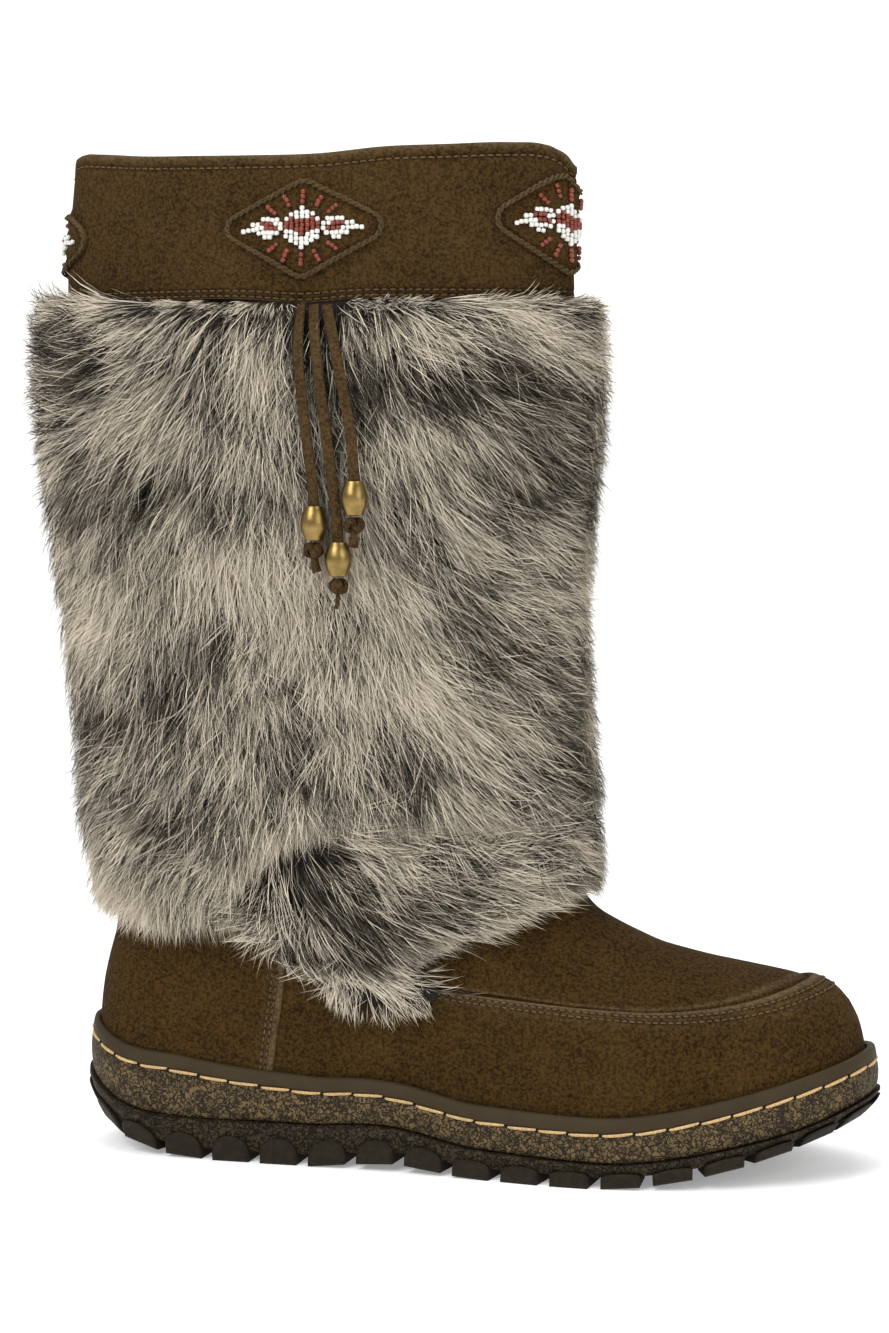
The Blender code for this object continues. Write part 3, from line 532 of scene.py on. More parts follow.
def nap_group():
    """Suede: broad brushed patches, small flecks and a fine grain, between a dark and a light brown.

    The attribute of the piece adds a pale rubbed tone above 0, and below 0 a near-black tone that is
    painted shade.
    """
    group, given, out = group_sockets(
        "nap",
        [("Dark", "Color", (0.04, 0.02, 0.01, 1.0)), ("Light", "Color", (0.09, 0.05, 0.02, 1.0)),
         ("Rubbed", "Color", (0.13, 0.09, 0.05, 1.0)),
         ("Grain", "Float", 900.0), ("Fleck", "Float", 480.0), ("Patch", "Float", 34.0)],
        [("Color", "Color"), ("Height", "Float")],
    )
    at = group.nodes.new("ShaderNodeTexCoord").outputs["Object"]
    patch = ramped(group, noise(group, at, given.outputs["Patch"], 3.0, 0.6), 0.34, 0.66)
    fleck = ramped(group, noise(group, at, given.outputs["Fleck"], 4.0, 0.75), 0.34, 0.66)
    grain = noise(group, at, given.outputs["Grain"], 3.0, 0.7)
    broad = math_node(group, "MULTIPLY", patch, PATCH_PART)
    flecked = math_node(group, "ADD", broad, math_node(group, "MULTIPLY", fleck, FLECK_PART))
    fine = math_node(group, "MULTIPLY", ramped(group, grain, 0.38, 0.62), GRAIN_PART)
    share = math_node(group, "ADD", flecked, fine)
    plain = mix_colours(group, share, given.outputs["Dark"], given.outputs["Light"])
    wear_and_shade = group.nodes.new("ShaderNodeAttribute")
    wear_and_shade.attribute_name = "wear_and_shade"
    rubbed = math_node(group, "MULTIPLY", wear_and_shade.outputs["Fac"], math_node(group, "ADD", share, 0.35))
    rubbed.node.use_clamp = True
    # Painted shade: below 0 the colour is mixed towards a near-black brown, as in the shadow of grooves,
    # creases and edges.
    painted_shade = math_node(group, "MULTIPLY", wear_and_shade.outputs["Fac"], -0.9)
    painted_shade.node.use_clamp = True
    plain = mix_colours(group, rubbed, plain, given.outputs["Rubbed"])
    plain = mix_colours(group, painted_shade, plain, (0.006, 0.003, 0.001, 1.0))
    group.links.new(plain, out.inputs["Color"])
    height = math_node(group, "ADD", grain, math_node(group, "MULTIPLY", fleck, 0.5))
    group.links.new(height, out.inputs["Height"])
    return group


def pebble_group():
    """Moulded rubber: rounded pebbles between winding creases that are painted dark as shade.

    The red and the green of a noise are two fields. A crease runs where either is one half, so the
    height is the product of their two distances from one half, each cut off at a small value.
    """
    group, given, out = group_sockets(
        "pebble",
        [("Crease", "Color", (0.02, 0.015, 0.01, 1.0)), ("Face", "Color", (0.1, 0.08, 0.05, 1.0)),
         ("Scale", "Float", 620.0)],
        [("Color", "Color"), ("Height", "Float")],
    )
    at = group.nodes.new("ShaderNodeTexCoord").outputs["Object"]
    fields = group.nodes.new("ShaderNodeTexNoise")
    fields.inputs["Detail"].default_value = 1.5
    group.links.new(given.outputs["Scale"], fields.inputs["Scale"])
    group.links.new(at, fields.inputs["Vector"])
    channels = group.nodes.new("ShaderNodeSeparateColor")
    group.links.new(fields.outputs["Color"], channels.inputs[0])
    faces = []
    for channel in ("Red", "Green"):
        from_half = math_node(group, "SUBTRACT", channels.outputs[channel], 0.5)
        faces.append(ramped(group, math_node(group, "ABSOLUTE", from_half), 0.0, CREASE_WIDTH))
    height = math_node(group, "MULTIPLY", *faces)
    mottle = ramped(group, noise(group, at, 260.0, 3.0, 0.6), 0.30, 0.62)
    patchy = math_node(group, "ADD", math_node(group, "MULTIPLY", mottle, 0.6), 0.4)
    tint = math_node(group, "MULTIPLY", height, patchy)
    # Painted shade: the colour falls to the dark crease colour where the height drops into a crease.
    colour = mix_colours(group, tint, given.outputs["Crease"], given.outputs["Face"])
    group.links.new(colour, out.inputs["Color"])
    group.links.new(height, out.inputs["Height"])
    return group


NAP = nap_group()
PEBBLE = pebble_group()


def finish(name, roughness, group=None, bump=0.0, depth=0.0002, colour=None, metallic=0.0, coat=0.0,
           specular=0.3, **values):
    """A material: one Principled shader, coloured and bumped by a node group or by plain noise."""
    material = bpy.data.materials.new(name)
    material.use_nodes = True
    tree = material.node_tree
    shader = tree.nodes["Principled BSDF"]
    shader.inputs["Roughness"].default_value = roughness
    shader.inputs["Metallic"].default_value = metallic
    shader.inputs["Coat Weight"].default_value = coat
    shader.inputs["Specular IOR Level"].default_value = specular
    if group is None:
        at = tree.nodes.new("ShaderNodeTexCoord").outputs["Object"]
        height = noise(tree, at, values["scale"], 4.0, 0.6)
        dark = tuple(c * values.get("shade", 0.7) for c in colour) + (1.0,)
        share = ramped(tree, height, 0.3, 0.7)
        tree.links.new(mix_colours(tree, share, dark, tuple(colour) + (1.0,)), shader.inputs["Base Color"])
    else:
        made = tree.nodes.new("ShaderNodeGroup")
        made.node_tree = group
        for label, value in values.items():
            made.inputs[label].default_value = value if isinstance(value, float) else tuple(value) + (1.0,)
        tree.links.new(made.outputs["Color"], shader.inputs["Base Color"])
        height = made.outputs["Height"]
    if bump:
        relief = tree.nodes.new("ShaderNodeBump")
        relief.inputs["Strength"].default_value = bump
        relief.inputs["Distance"].default_value = depth
        tree.links.new(height, relief.inputs["Height"])
        tree.links.new(relief.outputs[0], shader.inputs["Normal"])
    return material


# %% [markdown]
# The finishes follow the photograph: a warm dark brown suede that is a little lighter where it is
# folded, rubber in three browns, tan thread on the sole, dull brown thread on the suede, and beads
# of glass and brass.

# %% Materials
SUEDE = finish("suede", 0.95, NAP, 0.8, 0.00034, specular=0.08, Dark=(0.0105, 0.0048, 0.0010),
               Light=(0.068, 0.0365, 0.0090), Rubbed=(0.118, 0.082, 0.043))
PATCH_SUEDE = finish("patch_suede", 0.95, NAP, 0.7, 0.00028, specular=0.08, Dark=(0.0120, 0.0055, 0.0012),
                     Light=(0.074, 0.0400, 0.0110), Rubbed=(0.118, 0.082, 0.043))
THONG = finish("thong_suede", 0.9, NAP, 0.5, 0.00015, specular=0.08, Dark=(0.022, 0.0110, 0.0034),
               Light=(0.080, 0.0490, 0.0200), Rubbed=(0.130, 0.092, 0.050))
LIP = finish("lip_rubber", 0.65, colour=(0.043, 0.0295, 0.0135), scale=60.0, shade=0.8, bump=0.1,
             specular=0.15)
# The dark crease colours of the rand and the tread are painted shade.
RAND = finish("rand_rubber", 0.65, PEBBLE, 0.9, 0.0006, specular=0.2, Crease=(0.0100, 0.0065, 0.0030),
              Face=(0.125, 0.085, 0.036), Scale=520.0)
TREAD = finish("tread_rubber", 0.65, PEBBLE, 1.0, 0.0005, specular=0.15, Crease=(0.0030, 0.0022, 0.0012),
               Face=(0.046, 0.033, 0.0160), Scale=560.0)
LUG = finish("lug_rubber", 0.65, colour=(0.0200, 0.0155, 0.0088), scale=500.0, shade=0.6, bump=0.2,
             specular=0.12)
SOLE_THREAD = finish("sole_thread", 0.6, colour=(0.66, 0.44, 0.20), scale=1500.0, shade=0.55, bump=0.5)
SEAM_THREAD = finish("seam_thread", 0.8, colour=(0.140, 0.096, 0.050), scale=1500.0, shade=0.5, bump=0.5,
                     specular=0.1)
BORDER_CORD = finish("border_cord", 0.85, colour=(0.110, 0.074, 0.033), scale=1400.0, shade=0.4, bump=0.6,
                     specular=0.1)
# Near-black needle holes: painted shade inside the holes.
HOLE_SHADE = finish("hole_shade", 0.9, colour=(0.006, 0.004, 0.003), scale=500.0)
WHITE_BEAD = finish("white_bead", 0.22, colour=(0.74, 0.73, 0.68), scale=300.0, shade=0.9, coat=0.6)
RED_BEAD = finish("red_bead", 0.3, colour=(0.205, 0.038, 0.018), scale=300.0, shade=0.7, coat=0.3)
BRASS = finish("brass", 0.34, colour=(0.30, 0.205, 0.070), scale=260.0, shade=0.65, metallic=1.0, bump=0.12)
FLEECE = finish("fleece", 1.0, colour=(0.46, 0.40, 0.31), scale=380.0, shade=0.45, bump=0.9, depth=0.0012)

# %% [markdown]
# The tassel hangs from under the cuff: three flat thongs of suede, each through a brass barrel
# bead and tied below it. A thong is a free cord, so its route repeats the points of the solid
# model, and its length is what lies between the cuff and the knot. A soft curve through the points
# becomes a flat strip.

# %% Tassel
THONG_WIDTH = 0.0037
THONG_THICKNESS = 0.0013
BEAD_LENGTH = 0.0113
THONGS = {
    "rear": ((0.0275, -0.0379, 0.2957), (0.0282, -0.0425, 0.2910), (0.0290, -0.0476, 0.2840),
             (0.0302, -0.0508, 0.2730), (0.0320, -0.0519, 0.2580), (0.0342, -0.0526, 0.2430),
             (0.0356, -0.0530, 0.2300), (0.0357, -0.0530, 0.2165)),
    "middle": ((0.0320, -0.0379, 0.2957), (0.0333, -0.0425, 0.2910), (0.0348, -0.0476, 0.2840),
               (0.0366, -0.0508, 0.2730), (0.0392, -0.0520, 0.2560), (0.0421, -0.0527, 0.2350),
               (0.0439, -0.0530, 0.2185), (0.0440, -0.0530, 0.2045)),
    "front": ((0.0365, -0.0379, 0.2957), (0.0385, -0.0425, 0.2910), (0.0412, -0.0478, 0.2840),
              (0.0441, -0.0512, 0.2730), (0.0470, -0.0530, 0.2600), (0.0490, -0.0542, 0.2490),
              (0.0499, -0.0547, 0.2385), (0.0500, -0.0547, 0.2250)),
}


def thong_path(route, count=28):
    """Points on a soft curve through the route, evenly spaced by number."""
    route = np.array(route)
    fine = np.linspace(0.0, len(route) - 1.0, count)
    return np.stack([smooth(fine, np.arange(len(route)), route[:, k]) for k in range(3)], axis=1)


def lathe(profile, centre, sides):
    """A profile of (radius, height) pairs turned about the upright line through the centre."""
    turn = 2.0 * np.pi * np.arange(sides) / sides
    radius, height = np.array(profile).T
    ring = np.stack([np.cos(turn), np.sin(turn)], axis=-1)[None] * radius[:, None, None]
    rows = np.concatenate([ring, np.broadcast_to(height[:, None, None], (len(profile), sides, 1))], axis=-1)
    return rows + np.array(centre)


def make_thong(name, route, turn):
    """A flat strip: a rounded rectangle carried along the route."""
    path = thong_path(route)
    facing = np.array([np.sin(turn), -np.cos(turn), 0.0])
    ups = np.broadcast_to(facing, path.shape)
    vertices, faces = sweep(path[None], ups[None], THONG_WIDTH / 2.0, THONG_THICKNESS / 2.0, 12, 0.45)
    return path, add_piece("thong_strip_" + name, vertices, faces, THONG, ["thong_" + name])


def make_bead(name, route):
    """Barrel: the radius swells as a sine, with thin collars at the ends and three fine ridges."""
    half = BEAD_LENGTH / 2.0
    part = np.linspace(0.0, 1.0, 25)
    swell = 0.0027 + 0.0018 * np.sin(np.pi * part) ** 0.75
    ridge = 0.00008 * sum(np.exp(-(((part - at) / 0.022) ** 2)) for at in (0.40, 0.50, 0.60))
    collar = 0.00035 * (np.exp(-((part / 0.035) ** 2)) + np.exp(-(((1.0 - part) / 0.035) ** 2)))
    outer = np.stack([swell + ridge + collar, half * (2.0 * part - 1.0)], axis=1).tolist()
    profile = outer + [(0.0022, half), (0.0020, half - 0.001), (0.0020, 0.001 - half), (0.0022, -half)]
    x, y, z = route[-1]
    rows = lathe(profile, (x, y, z + half + GAP), 32)
    faces = quads(len(profile), 32, True, True).tolist()
    return add_piece("brass_bead_" + name, rows, faces, BRASS, ["bead_" + name])


def make_knot(name, route, turn):
    """Overhand knot: a trefoil loop of the flat strip, with its end hanging out below."""
    t = np.linspace(0.0, 2.0 * np.pi, 40, endpoint=False)
    loop = np.stack([np.sin(t) + 1.6 * np.sin(2.0 * t), np.cos(t) - 1.6 * np.cos(2.0 * t),
                     -np.sin(3.0 * t)], axis=1)
    loop = loop * np.array([0.00112, 0.00098, 0.00140])
    x, y, z = route[-1]
    centre = np.array([x, y, z - 0.0031])
    c, s = np.cos(turn), np.sin(turn)
    spin = np.array([[c, -s, 0.0], [s, c, 0.0], [0.0, 0.0, 1.0]])
    path = loop @ spin.T + centre
    path = np.concatenate([path, path[:1]])
    ups = unit(path - centre)
    knot = sweep(path[None], ups[None], 0.0015, 0.00085, 8, 0.6)
    fall = np.linspace(0.0, 1.0, 8)[:, None]
    drift = np.array([np.sin(3.0 * turn), np.cos(2.0 * turn), 0.0]) * 0.0012
    tail = centre + np.array([0.0, 0.0, -0.0012]) + fall * np.array([0.0, 0.0, -0.0062]) + fall ** 2 * drift
    facing = np.broadcast_to(unit(np.array([np.sin(turn), -np.cos(turn), 0.0])), tail.shape)
    end = sweep(tail[None], facing[None], 0.0011 + 0.0006 * fall.T, 0.0006, 10, 0.45)
    vertices, faces = merged([knot, end])
    return add_piece("thong_knot_" + name, vertices, faces, THONG, ["knot_" + name])


for order, (name, route) in enumerate(THONGS.items()):
    path, strip = make_thong(name, route, 0.25 * (order - 1))
    bead = make_bead(name, route)
    knot = make_knot(name, route, 0.7 + 1.3 * order)
    length = float(np.linalg.norm(np.diff(path, axis=0), axis=1).sum())
    tuple(path[0])
    [tuple(point) for point in path]
    print("thong", name, "length", round(length, 4))

# %% [markdown]
# The outsole is a slab of dark pebbled rubber. Half-disc lugs stand round its edge, a little proud
# of the side, with notches between them. The middle has six-sided blocks. Each lug is a prism on
# its own patch of the curved ground line.

# %% Outsole
AROUND = np.linspace(0.0, 2.0 * np.pi, 360, endpoint=False)
LUG_SHARE = 0.62
LUG_FILL = 0.755
LUG_EMBED = 0.0003
LUG_REACH = 0.0165
LUG_STAND = 0.0010
LUG_PITCH = 0.0175
LUG_EASE = 0.0008
BLOCK_RADIUS = 0.0085
BLOCKS = ((0.125, 0.0), (0.2128, 0.0), (0.300, 0.0), (0.385, 0.0), (0.470, 0.0), (0.560, 0.10),
          (0.560, -0.10), (0.656, 0.0), (0.656, 0.20), (0.656, -0.20), (0.752, 0.10),
          (0.752, -0.10), (0.848, 0.0))


def make_outsole():
    """Rings of the sole's outline, whose inset shrinks upwards from the tuck."""
    tuck = tuck_at(share_of(AROUND))

    def line(part):
        return lambda along: notch_line(along) * (1.0 - part) + tread_top(along) * part

    rings = [
        sole_ring(AROUND, 0.0022 + 0.50 * tuck, line(0.0)),
        sole_ring(AROUND, 0.0014 + 0.42 * tuck, line(0.10)),
        sole_ring(AROUND, 0.0010 + 0.28 * tuck, line(0.30)),
        sole_ring(AROUND, 0.0001 + 0.08 * tuck, line(0.55)),
        sole_ring(AROUND, -0.0002, line(0.75)),
        sole_ring(AROUND, -0.0001, line(0.92)),
        sole_ring(AROUND, 0.0006, tread_top, -0.0004),
        sole_ring(AROUND, 0.0020, tread_top, -0.0003),
    ]
    return slab("outsole_body", rings, TREAD, ["outsole"])


def lug_outline(stem, height, shrink):
    """Straight sides up to the stem's height, then half an oval, all drawn in by shrink."""
    half = LUG_FILL * LUG_PITCH / 2.0
    turn = np.linspace(0.0, np.pi, 15)
    across = np.concatenate([[half], half * np.cos(turn), [-half]])
    up = np.concatenate([[0.0], stem + (height - stem) * np.sin(turn), [0.0]])
    return np.stack([across * (1.0 - shrink / half), np.maximum(up - shrink, shrink * (up <= 0.0))], axis=1)


def make_lugs():
    """Prisms: the lug's outline carried inwards from the sole's edge, and six-sided blocks."""
    fine = np.linspace(0.0, 2.0 * np.pi, 1441)
    x, y = sole_edge(fine)
    run = np.concatenate([[0.0], np.cumsum(np.hypot(np.diff(x), np.diff(y)))])
    count = int(round(run[-1] / LUG_PITCH))
    parts = []
    for k in range(count):
        phi = np.interp((k + 0.5) / count * run[-1], run, fine)
        x, y = sole_edge(phi)
        inner_x, inner_y = sole_edge(phi, 1.0)
        inward = np.array([inner_x - x, inner_y - y])
        across = np.array([-inward[1], inward[0]])
        along = x / SOLE_LENGTH
        depth_here = float(tread_top(along) - ground_line(along))
        height = LUG_SHARE * depth_here
        stem = float(notch_line(along) - ground_line(along)) + LUG_EMBED
        tuck = float(tuck_at(share_of(phi)))
        rings = []
        for depth, shrink, lean in ((-LUG_STAND, LUG_EASE, tuck), (LUG_EASE - LUG_STAND, 0.0, tuck),
                                    (LUG_REACH, 0.0, 0.0)):
            side, up = lug_outline(stem, height, shrink).T
            inset = depth + lean * (1.0 - up / height)
            px = x + inward[0] * inset + across[0] * side
            py = y + inward[1] * inset + across[1] * side
            rings.append(stack(px, py, ground_line(np.clip(px / SOLE_LENGTH, 0.0, 1.0)) + up))
        rings = np.array(rings)
        corners = rings.shape[1]
        faces = quads(3, corners, False, True).tolist()
        faces += [list(range(corners)), list(range(2 * corners, 3 * corners))]
        parts.append((rings.reshape(-1, 3), faces))
    turn = (np.arange(6)) * np.pi / 3.0
    for along, aside in BLOCKS:
        rings = []
        for up, shrink in ((0.0, 0.0006), (0.0006, 0.0), (LUG_HEIGHT + 0.001, 0.0)):
            px = along * SOLE_LENGTH + (BLOCK_RADIUS - shrink) * np.cos(turn)
            py = aside * BALL_BREADTH + (BLOCK_RADIUS - shrink) * np.sin(turn)
            rings.append(stack(px, py, ground_line(px / SOLE_LENGTH) + up))
        faces = quads(3, 6, False, True).tolist() + [list(range(6)), list(range(12, 18))]
        parts.append((np.array(rings).reshape(-1, 3), faces))
    vertices, faces = merged(parts)
    return add_piece("outsole_lugs", vertices, faces, LUG, smooth_shading=False)


make_outsole()
make_lugs()

# %% [markdown]
# Above the tread lies the rand, brown pebbled rubber that swells a little, and on it the smooth lip
# that hugs the foot. Long tan stitches lie in the groove between the two, each pulled down into a
# needle hole at both ends.

# %% Rand, lip and sole stitches
# The rand's side: the part of its height, and how far it is drawn in there
RAND_PROFILE = ((0.0, 0.0018), (0.08, 0.0010), (0.3, 0.0006), (0.6, 0.0005), (0.85, 0.0008), (0.97, 0.0013))
LIP_HUG = 0.0024
SOLE_STITCH_PITCH = 0.0112
SOLE_STITCH_GAP = 0.0010
SOLE_STITCH_RADIUS = 0.00054


def make_rand():
    """Rings of the sole's outline, drawn in by the rand's profile."""
    rings = [sole_ring(AROUND, 0.0040, tread_top, 0.0001)]
    for part, inset in RAND_PROFILE:
        def height(s, part=part):
            return tread_top(s) * (1.0 - part) + rand_top(s) * part
        rings.append(sole_ring(AROUND, inset, height, 0.0001))
    rings.append(sole_ring(AROUND, 0.0022, rand_top, 0.0))
    return slab("rand_body", rings, RAND, ["midsole"])


def make_lip():
    """A closed band: up the outer side, over a rounded top, and down along the upper."""
    share = share_of(AROUND)
    rows = [
        sole_ring(AROUND, 0.0024, rand_top, 0.0001),
        sole_ring(AROUND, 0.0016, rand_top, 0.0006),
        sole_ring(AROUND, 0.0012, rand_top, 0.0016),
        sole_ring(AROUND, 0.0015, rand_top, 0.0036),
        sole_ring(AROUND, 0.0019, rand_top, 0.0050),
        sole_ring(AROUND, 0.0025, rand_top, 0.0057),
        sole_ring(AROUND, 0.0032, rand_top, 0.0059),
    ]
    for up in (0.0057, 0.0050, 0.0001):
        row = skin(AROUND, level_at(share, feather_height(share) + up), LIP_HUG)
        row[:, 2] = rand_top(np.clip((row[:, 0] + HEEL_CENTRE) / SOLE_LENGTH, 0.0, 1.0)) + up
        rows.append(row)
    return band("lip", rows, LIP, ["welt"])


def make_sole_stitches():
    """Long stitches along the outline. Each dips by one minus a flattened sine at its ends."""
    fine = np.linspace(0.0, 2.0 * np.pi, 2881)
    ring = sole_ring(fine, 0.0009, rand_top, 0.0003)
    run = np.concatenate([[0.0], np.cumsum(np.linalg.norm(np.diff(ring, axis=0), axis=1))])
    count = int(round(run[-1] / SOLE_STITCH_PITCH))
    part = np.linspace(0.0, 1.0, 7)
    rng = np.random.default_rng(4)
    starts = (np.arange(count)[:, None] + rng.uniform(-0.03, 0.03, (count, 1))) * run[-1] / count
    reach = run[-1] / count - SOLE_STITCH_GAP
    phi = np.interp((starts + part[None] * reach) % run[-1], run, fine)
    dip = 0.0006 * (1.0 - np.sin(np.pi * part) ** 0.35)
    tilt = (part - 0.5) * 0.0004 + rng.uniform(-0.00015, 0.00015, (count, 1))
    x, y = sole_edge(phi, 0.0011 + dip[None])
    outer_x, outer_y = sole_edge(phi, -0.01)
    along = np.clip(x / SOLE_LENGTH, 0.0, 1.0)
    paths = stack(x, y, rand_top(along) + 0.0003 + tilt)
    ups = unit(np.stack([outer_x - x, outer_y - y, 0.0 * x], axis=-1))
    thin = SOLE_STITCH_RADIUS * (0.75 + 0.25 * np.sin(np.pi * part) ** 0.5)
    vertices, faces = sweep(paths, ups, thin[None], thin[None], 6)
    add_piece("sole_stitches", vertices, faces, SOLE_THREAD)
    # Between the stitches, near-black tubes paint the shade inside the needle holes.
    holes = np.interp((starts[:, 0] - SOLE_STITCH_GAP / 2.0) % run[-1], run, fine)
    x, y = sole_edge(holes, 0.0012)
    deep_x, deep_y = sole_edge(holes, 0.0022)
    height = rand_top(np.clip(x / SOLE_LENGTH, 0.0, 1.0)) + 0.0002
    paths = np.stack([stack(deep_x, deep_y, height), stack(x, y, height)], axis=1)
    vertices, faces = sweep(paths, np.array([0.0, 0.0, 1.0]) + 0.0 * paths, 0.0005, 0.0009, 6)
    add_piece("needle_hole_shading", vertices, faces, HOLE_SHADE)


make_rand()
make_lip()
make_sole_stitches()

# %% [markdown]
# The suede of the upper is a thin shell over a fleece lining. The shell is the plain surface of the
# last, with two soft flex creases across the vamp and a groove along the apron seam, where the vamp
# is pulled down beside the side wall. The lining has a lumpy surface of its own.

# %% Upper and lining
CREASES = ((0.168, 0.0045, 0.0006), (0.184, 0.0040, 0.0004), (0.206, 0.0060, 0.0003))
VAMP_SWELL = 0.0010
GROOVE_DEPTH = 0.0004
GROOVE_WIDTH = 0.0016


def vamp_relief(points, upward, share):
    """How far the vamp stands out: creases are bell curves along the foot, the groove one beside the seam.

    Returns the rise and a tone: painted shade, dark in the crease troughs and in the groove, and a pale
    band beside the groove.
    """
    along = points[..., 0] + HEEL_CENTRE
    on_top = ease(0.060, 0.072, points[..., 2]) * (1.0 - ease(0.098, 0.105, points[..., 2]))
    sink = sum(depth * np.exp(-(((along - at) / width) ** 2)) for at, width, depth in CREASES)
    swell = VAMP_SWELL * ease(0.0585, 0.064, points[..., 2]) * np.exp(-(((along - 0.222) / 0.036) ** 2))
    beside = (points[..., 2] - seam_height(share)) / np.maximum(upward[..., 2], 0.15)
    groove = np.exp(-((beside / GROOVE_WIDTH) ** 2))
    pale_band = 0.45 * np.exp(-(((beside - 0.0046) / 0.0020) ** 2)) * (beside > 0.0)
    # Painted shade: the groove and the troughs of the creases are darkened in colour, beside the pale band.
    wear_and_shade = pale_band - 0.45 * groove * (beside > -0.001) - 350.0 * sink * on_top
    return swell - sink * on_top - GROOVE_DEPTH * groove, wear_and_shade


def make_upper():
    """Two closed bands between levels 0 and 3: the suede's wall, and the lining inside it."""
    phi = np.linspace(0.0, 2.0 * np.pi, 168, endpoint=False)
    levels = np.concatenate([[0.0, 0.25, 0.5, 0.75, 0.9, 0.97], 1.0 + np.linspace(0.0, 1.0, 36) ** 2.2,
                             np.linspace(2.1, 3.0, 10)])
    level, angle = np.meshgrid(levels, phi, indexing="ij")
    points, normals, _, upward = upper_frame(angle, level)
    rise, wear_and_shade = vamp_relief(points, upward, share_of(angle))
    outer = settled(points + normals * rise[..., None], angle)
    inner = outer - normals * 0.0009
    few = np.concatenate([[0, 3], np.arange(6, 42, 2), [42, 44, 46, 48, 51]])
    band("upper_suede", np.concatenate([outer, inner[few[::-1]]]), SUEDE, ["upper"],
         wear_and_shade=np.concatenate([wear_and_shade, wear_and_shade[few[::-1]]]))
    rng = np.random.default_rng(8)
    lumps = rng.uniform(-0.00025, 0.00025, level.shape)
    outside = outer - normals * 0.0014
    inside = settled(points - normals * (UPPER_WALL + lumps)[..., None], angle)
    band("fleece_lining", np.concatenate([outside[few], inside[few[::-1]]]), FLEECE)
    for slot_holder in bpy.data.objects["insole"].material_slots:
        slot_holder.material = FLEECE


make_upper()

# %% [markdown]
# Two suede panels lie over the foot. The side wall runs round the toe up to the apron seam. The
# heel panel lies over its ends. Each has its edge folded under, which shows as a raised, lighter
# band, and two rows of small stitches pulled into shallow grooves beside it. So the distance from
# the edge alone gives the relief.

# %% Panels and their seams
COUNTER_EDGE = (0.2545, 0.278)
COUNTER_TOP = 1.36
COUNTER_WALL = 0.0019
TOE_WALL = 0.0014
# The relief of a panel in millimetres, and its wear and painted shade (pale on the fold, dark at the edge
# and in the stitch grooves), by the distance from its edge
WALL_FOLD = {
    "distance": (0.0, 0.2, 0.5, 0.9, 1.3, 1.6, 1.9, 2.4,
                 2.9, 3.2, 3.5, 4.2, 5.5, 9.0, 13.0, 20.0),
    "rise": (-1.35, -0.35, 0.18, 0.26, 0.06, -0.16, 0.02, 0.16,
             0.0, -0.18, 0.0, 0.14, 0.22, 0.18, 0.12, 0.0),
    "wear_and_shade": (-0.7, 0.1, 0.9, 0.75, 0.2, -0.3, 0.1, 0.3,
             0.0, -0.35, 0.0, 0.15, 0.05, 0.0, 0.0, 0.0),
}
COUNTER_FOLD = {
    "distance": (0.0, 0.25, 0.7, 1.6, 2.6, 3.1, 3.4, 3.8,
                 4.3, 4.8, 5.2, 5.6, 6.4, 9.0, 13.0, 20.0),
    "rise": (-1.75, -0.15, 0.42, 0.55, 0.40, 0.05, -0.22, 0.0,
             0.08, 0.0, -0.24, 0.0, 0.14, 0.22, 0.15, 0.0),
    "wear_and_shade": (-1.0, 0.1, 0.65, 0.70, 0.50, 0.1, -0.4, 0.1,
             0.25, 0.1, -0.4, 0.0, 0.1, 0.0, 0.0, 0.0),
}
WALL_ROWS = (1.6, 3.2)
COUNTER_ROWS = (3.4, 5.2)
STITCH_PITCH = 0.0026
STITCH_RADIUS = 0.00034


def edge_phi(level):
    """Angle of the heel panel's front edge: its share grows evenly with the level."""
    share = COUNTER_EDGE[0] + (COUNTER_EDGE[1] - COUNTER_EDGE[0]) * level
    return np.arccos(1.0 - 2.0 * share)


def fold(table, distance, column="rise"):
    """A value of the fold's table, in metres for the rise."""
    value = np.interp(distance / MM, table["distance"], table[column])
    return MM * value if column == "rise" else value


def wall_point(phi, distance):
    """Angle, level and height over the upper, down the side wall from the apron seam."""
    share = share_of(phi)
    height = np.maximum(seam_height(share) - distance, feather_height(share))
    return phi, level_at(share, height), GAP + TOE_WALL + fold(WALL_FOLD, distance)


def make_toe_wall():
    """Rows down from the apron seam, each at the relief of its distance from it."""
    ends = edge_phi(0.5) - 0.03
    phi = np.linspace(ends, 2.0 * np.pi - ends, 270)
    share = share_of(phi)
    near = np.array(WALL_FOLD["distance"][:-3]) * MM
    rows = [skin(*wall_point(phi, 0.0 * phi + distance)) for distance in near]
    wear_and_shade = [0.0 * phi + fold(WALL_FOLD, distance, "wear_and_shade") for distance in near]
    low = feather_height(share)
    high = seam_height(share) - near[-1]
    for part in np.linspace(0.12, 1.0, 9):
        height = high + (low - high) * part
        relief = fold(WALL_FOLD, seam_height(share) - height)
        rows.append(skin(phi, level_at(share, height), GAP + TOE_WALL + relief))
        # Darker towards the sole.
        wear_and_shade.append(-0.5 * ease(0.8, 1.0, part) + 0.0 * phi)
    for part in (1.0, 0.5, 0.0):
        rows.append(skin(phi, level_at(share, high + (low - high) * part), GAP * 0.5 + 0.0 * phi))
        wear_and_shade.append(0.0 * phi)
    rows.append(skin(phi, level_at(share, seam_height(share)), GAP * 0.5 + 0.0 * phi))
    # Painted shade: the closing row at the seam edge is dark.
    wear_and_shade.append(0.0 * phi - 0.7)
    open_band("toe_wall_suede", rows, SUEDE, ["toe_wall"], wear_and_shade=np.array(wear_and_shade))


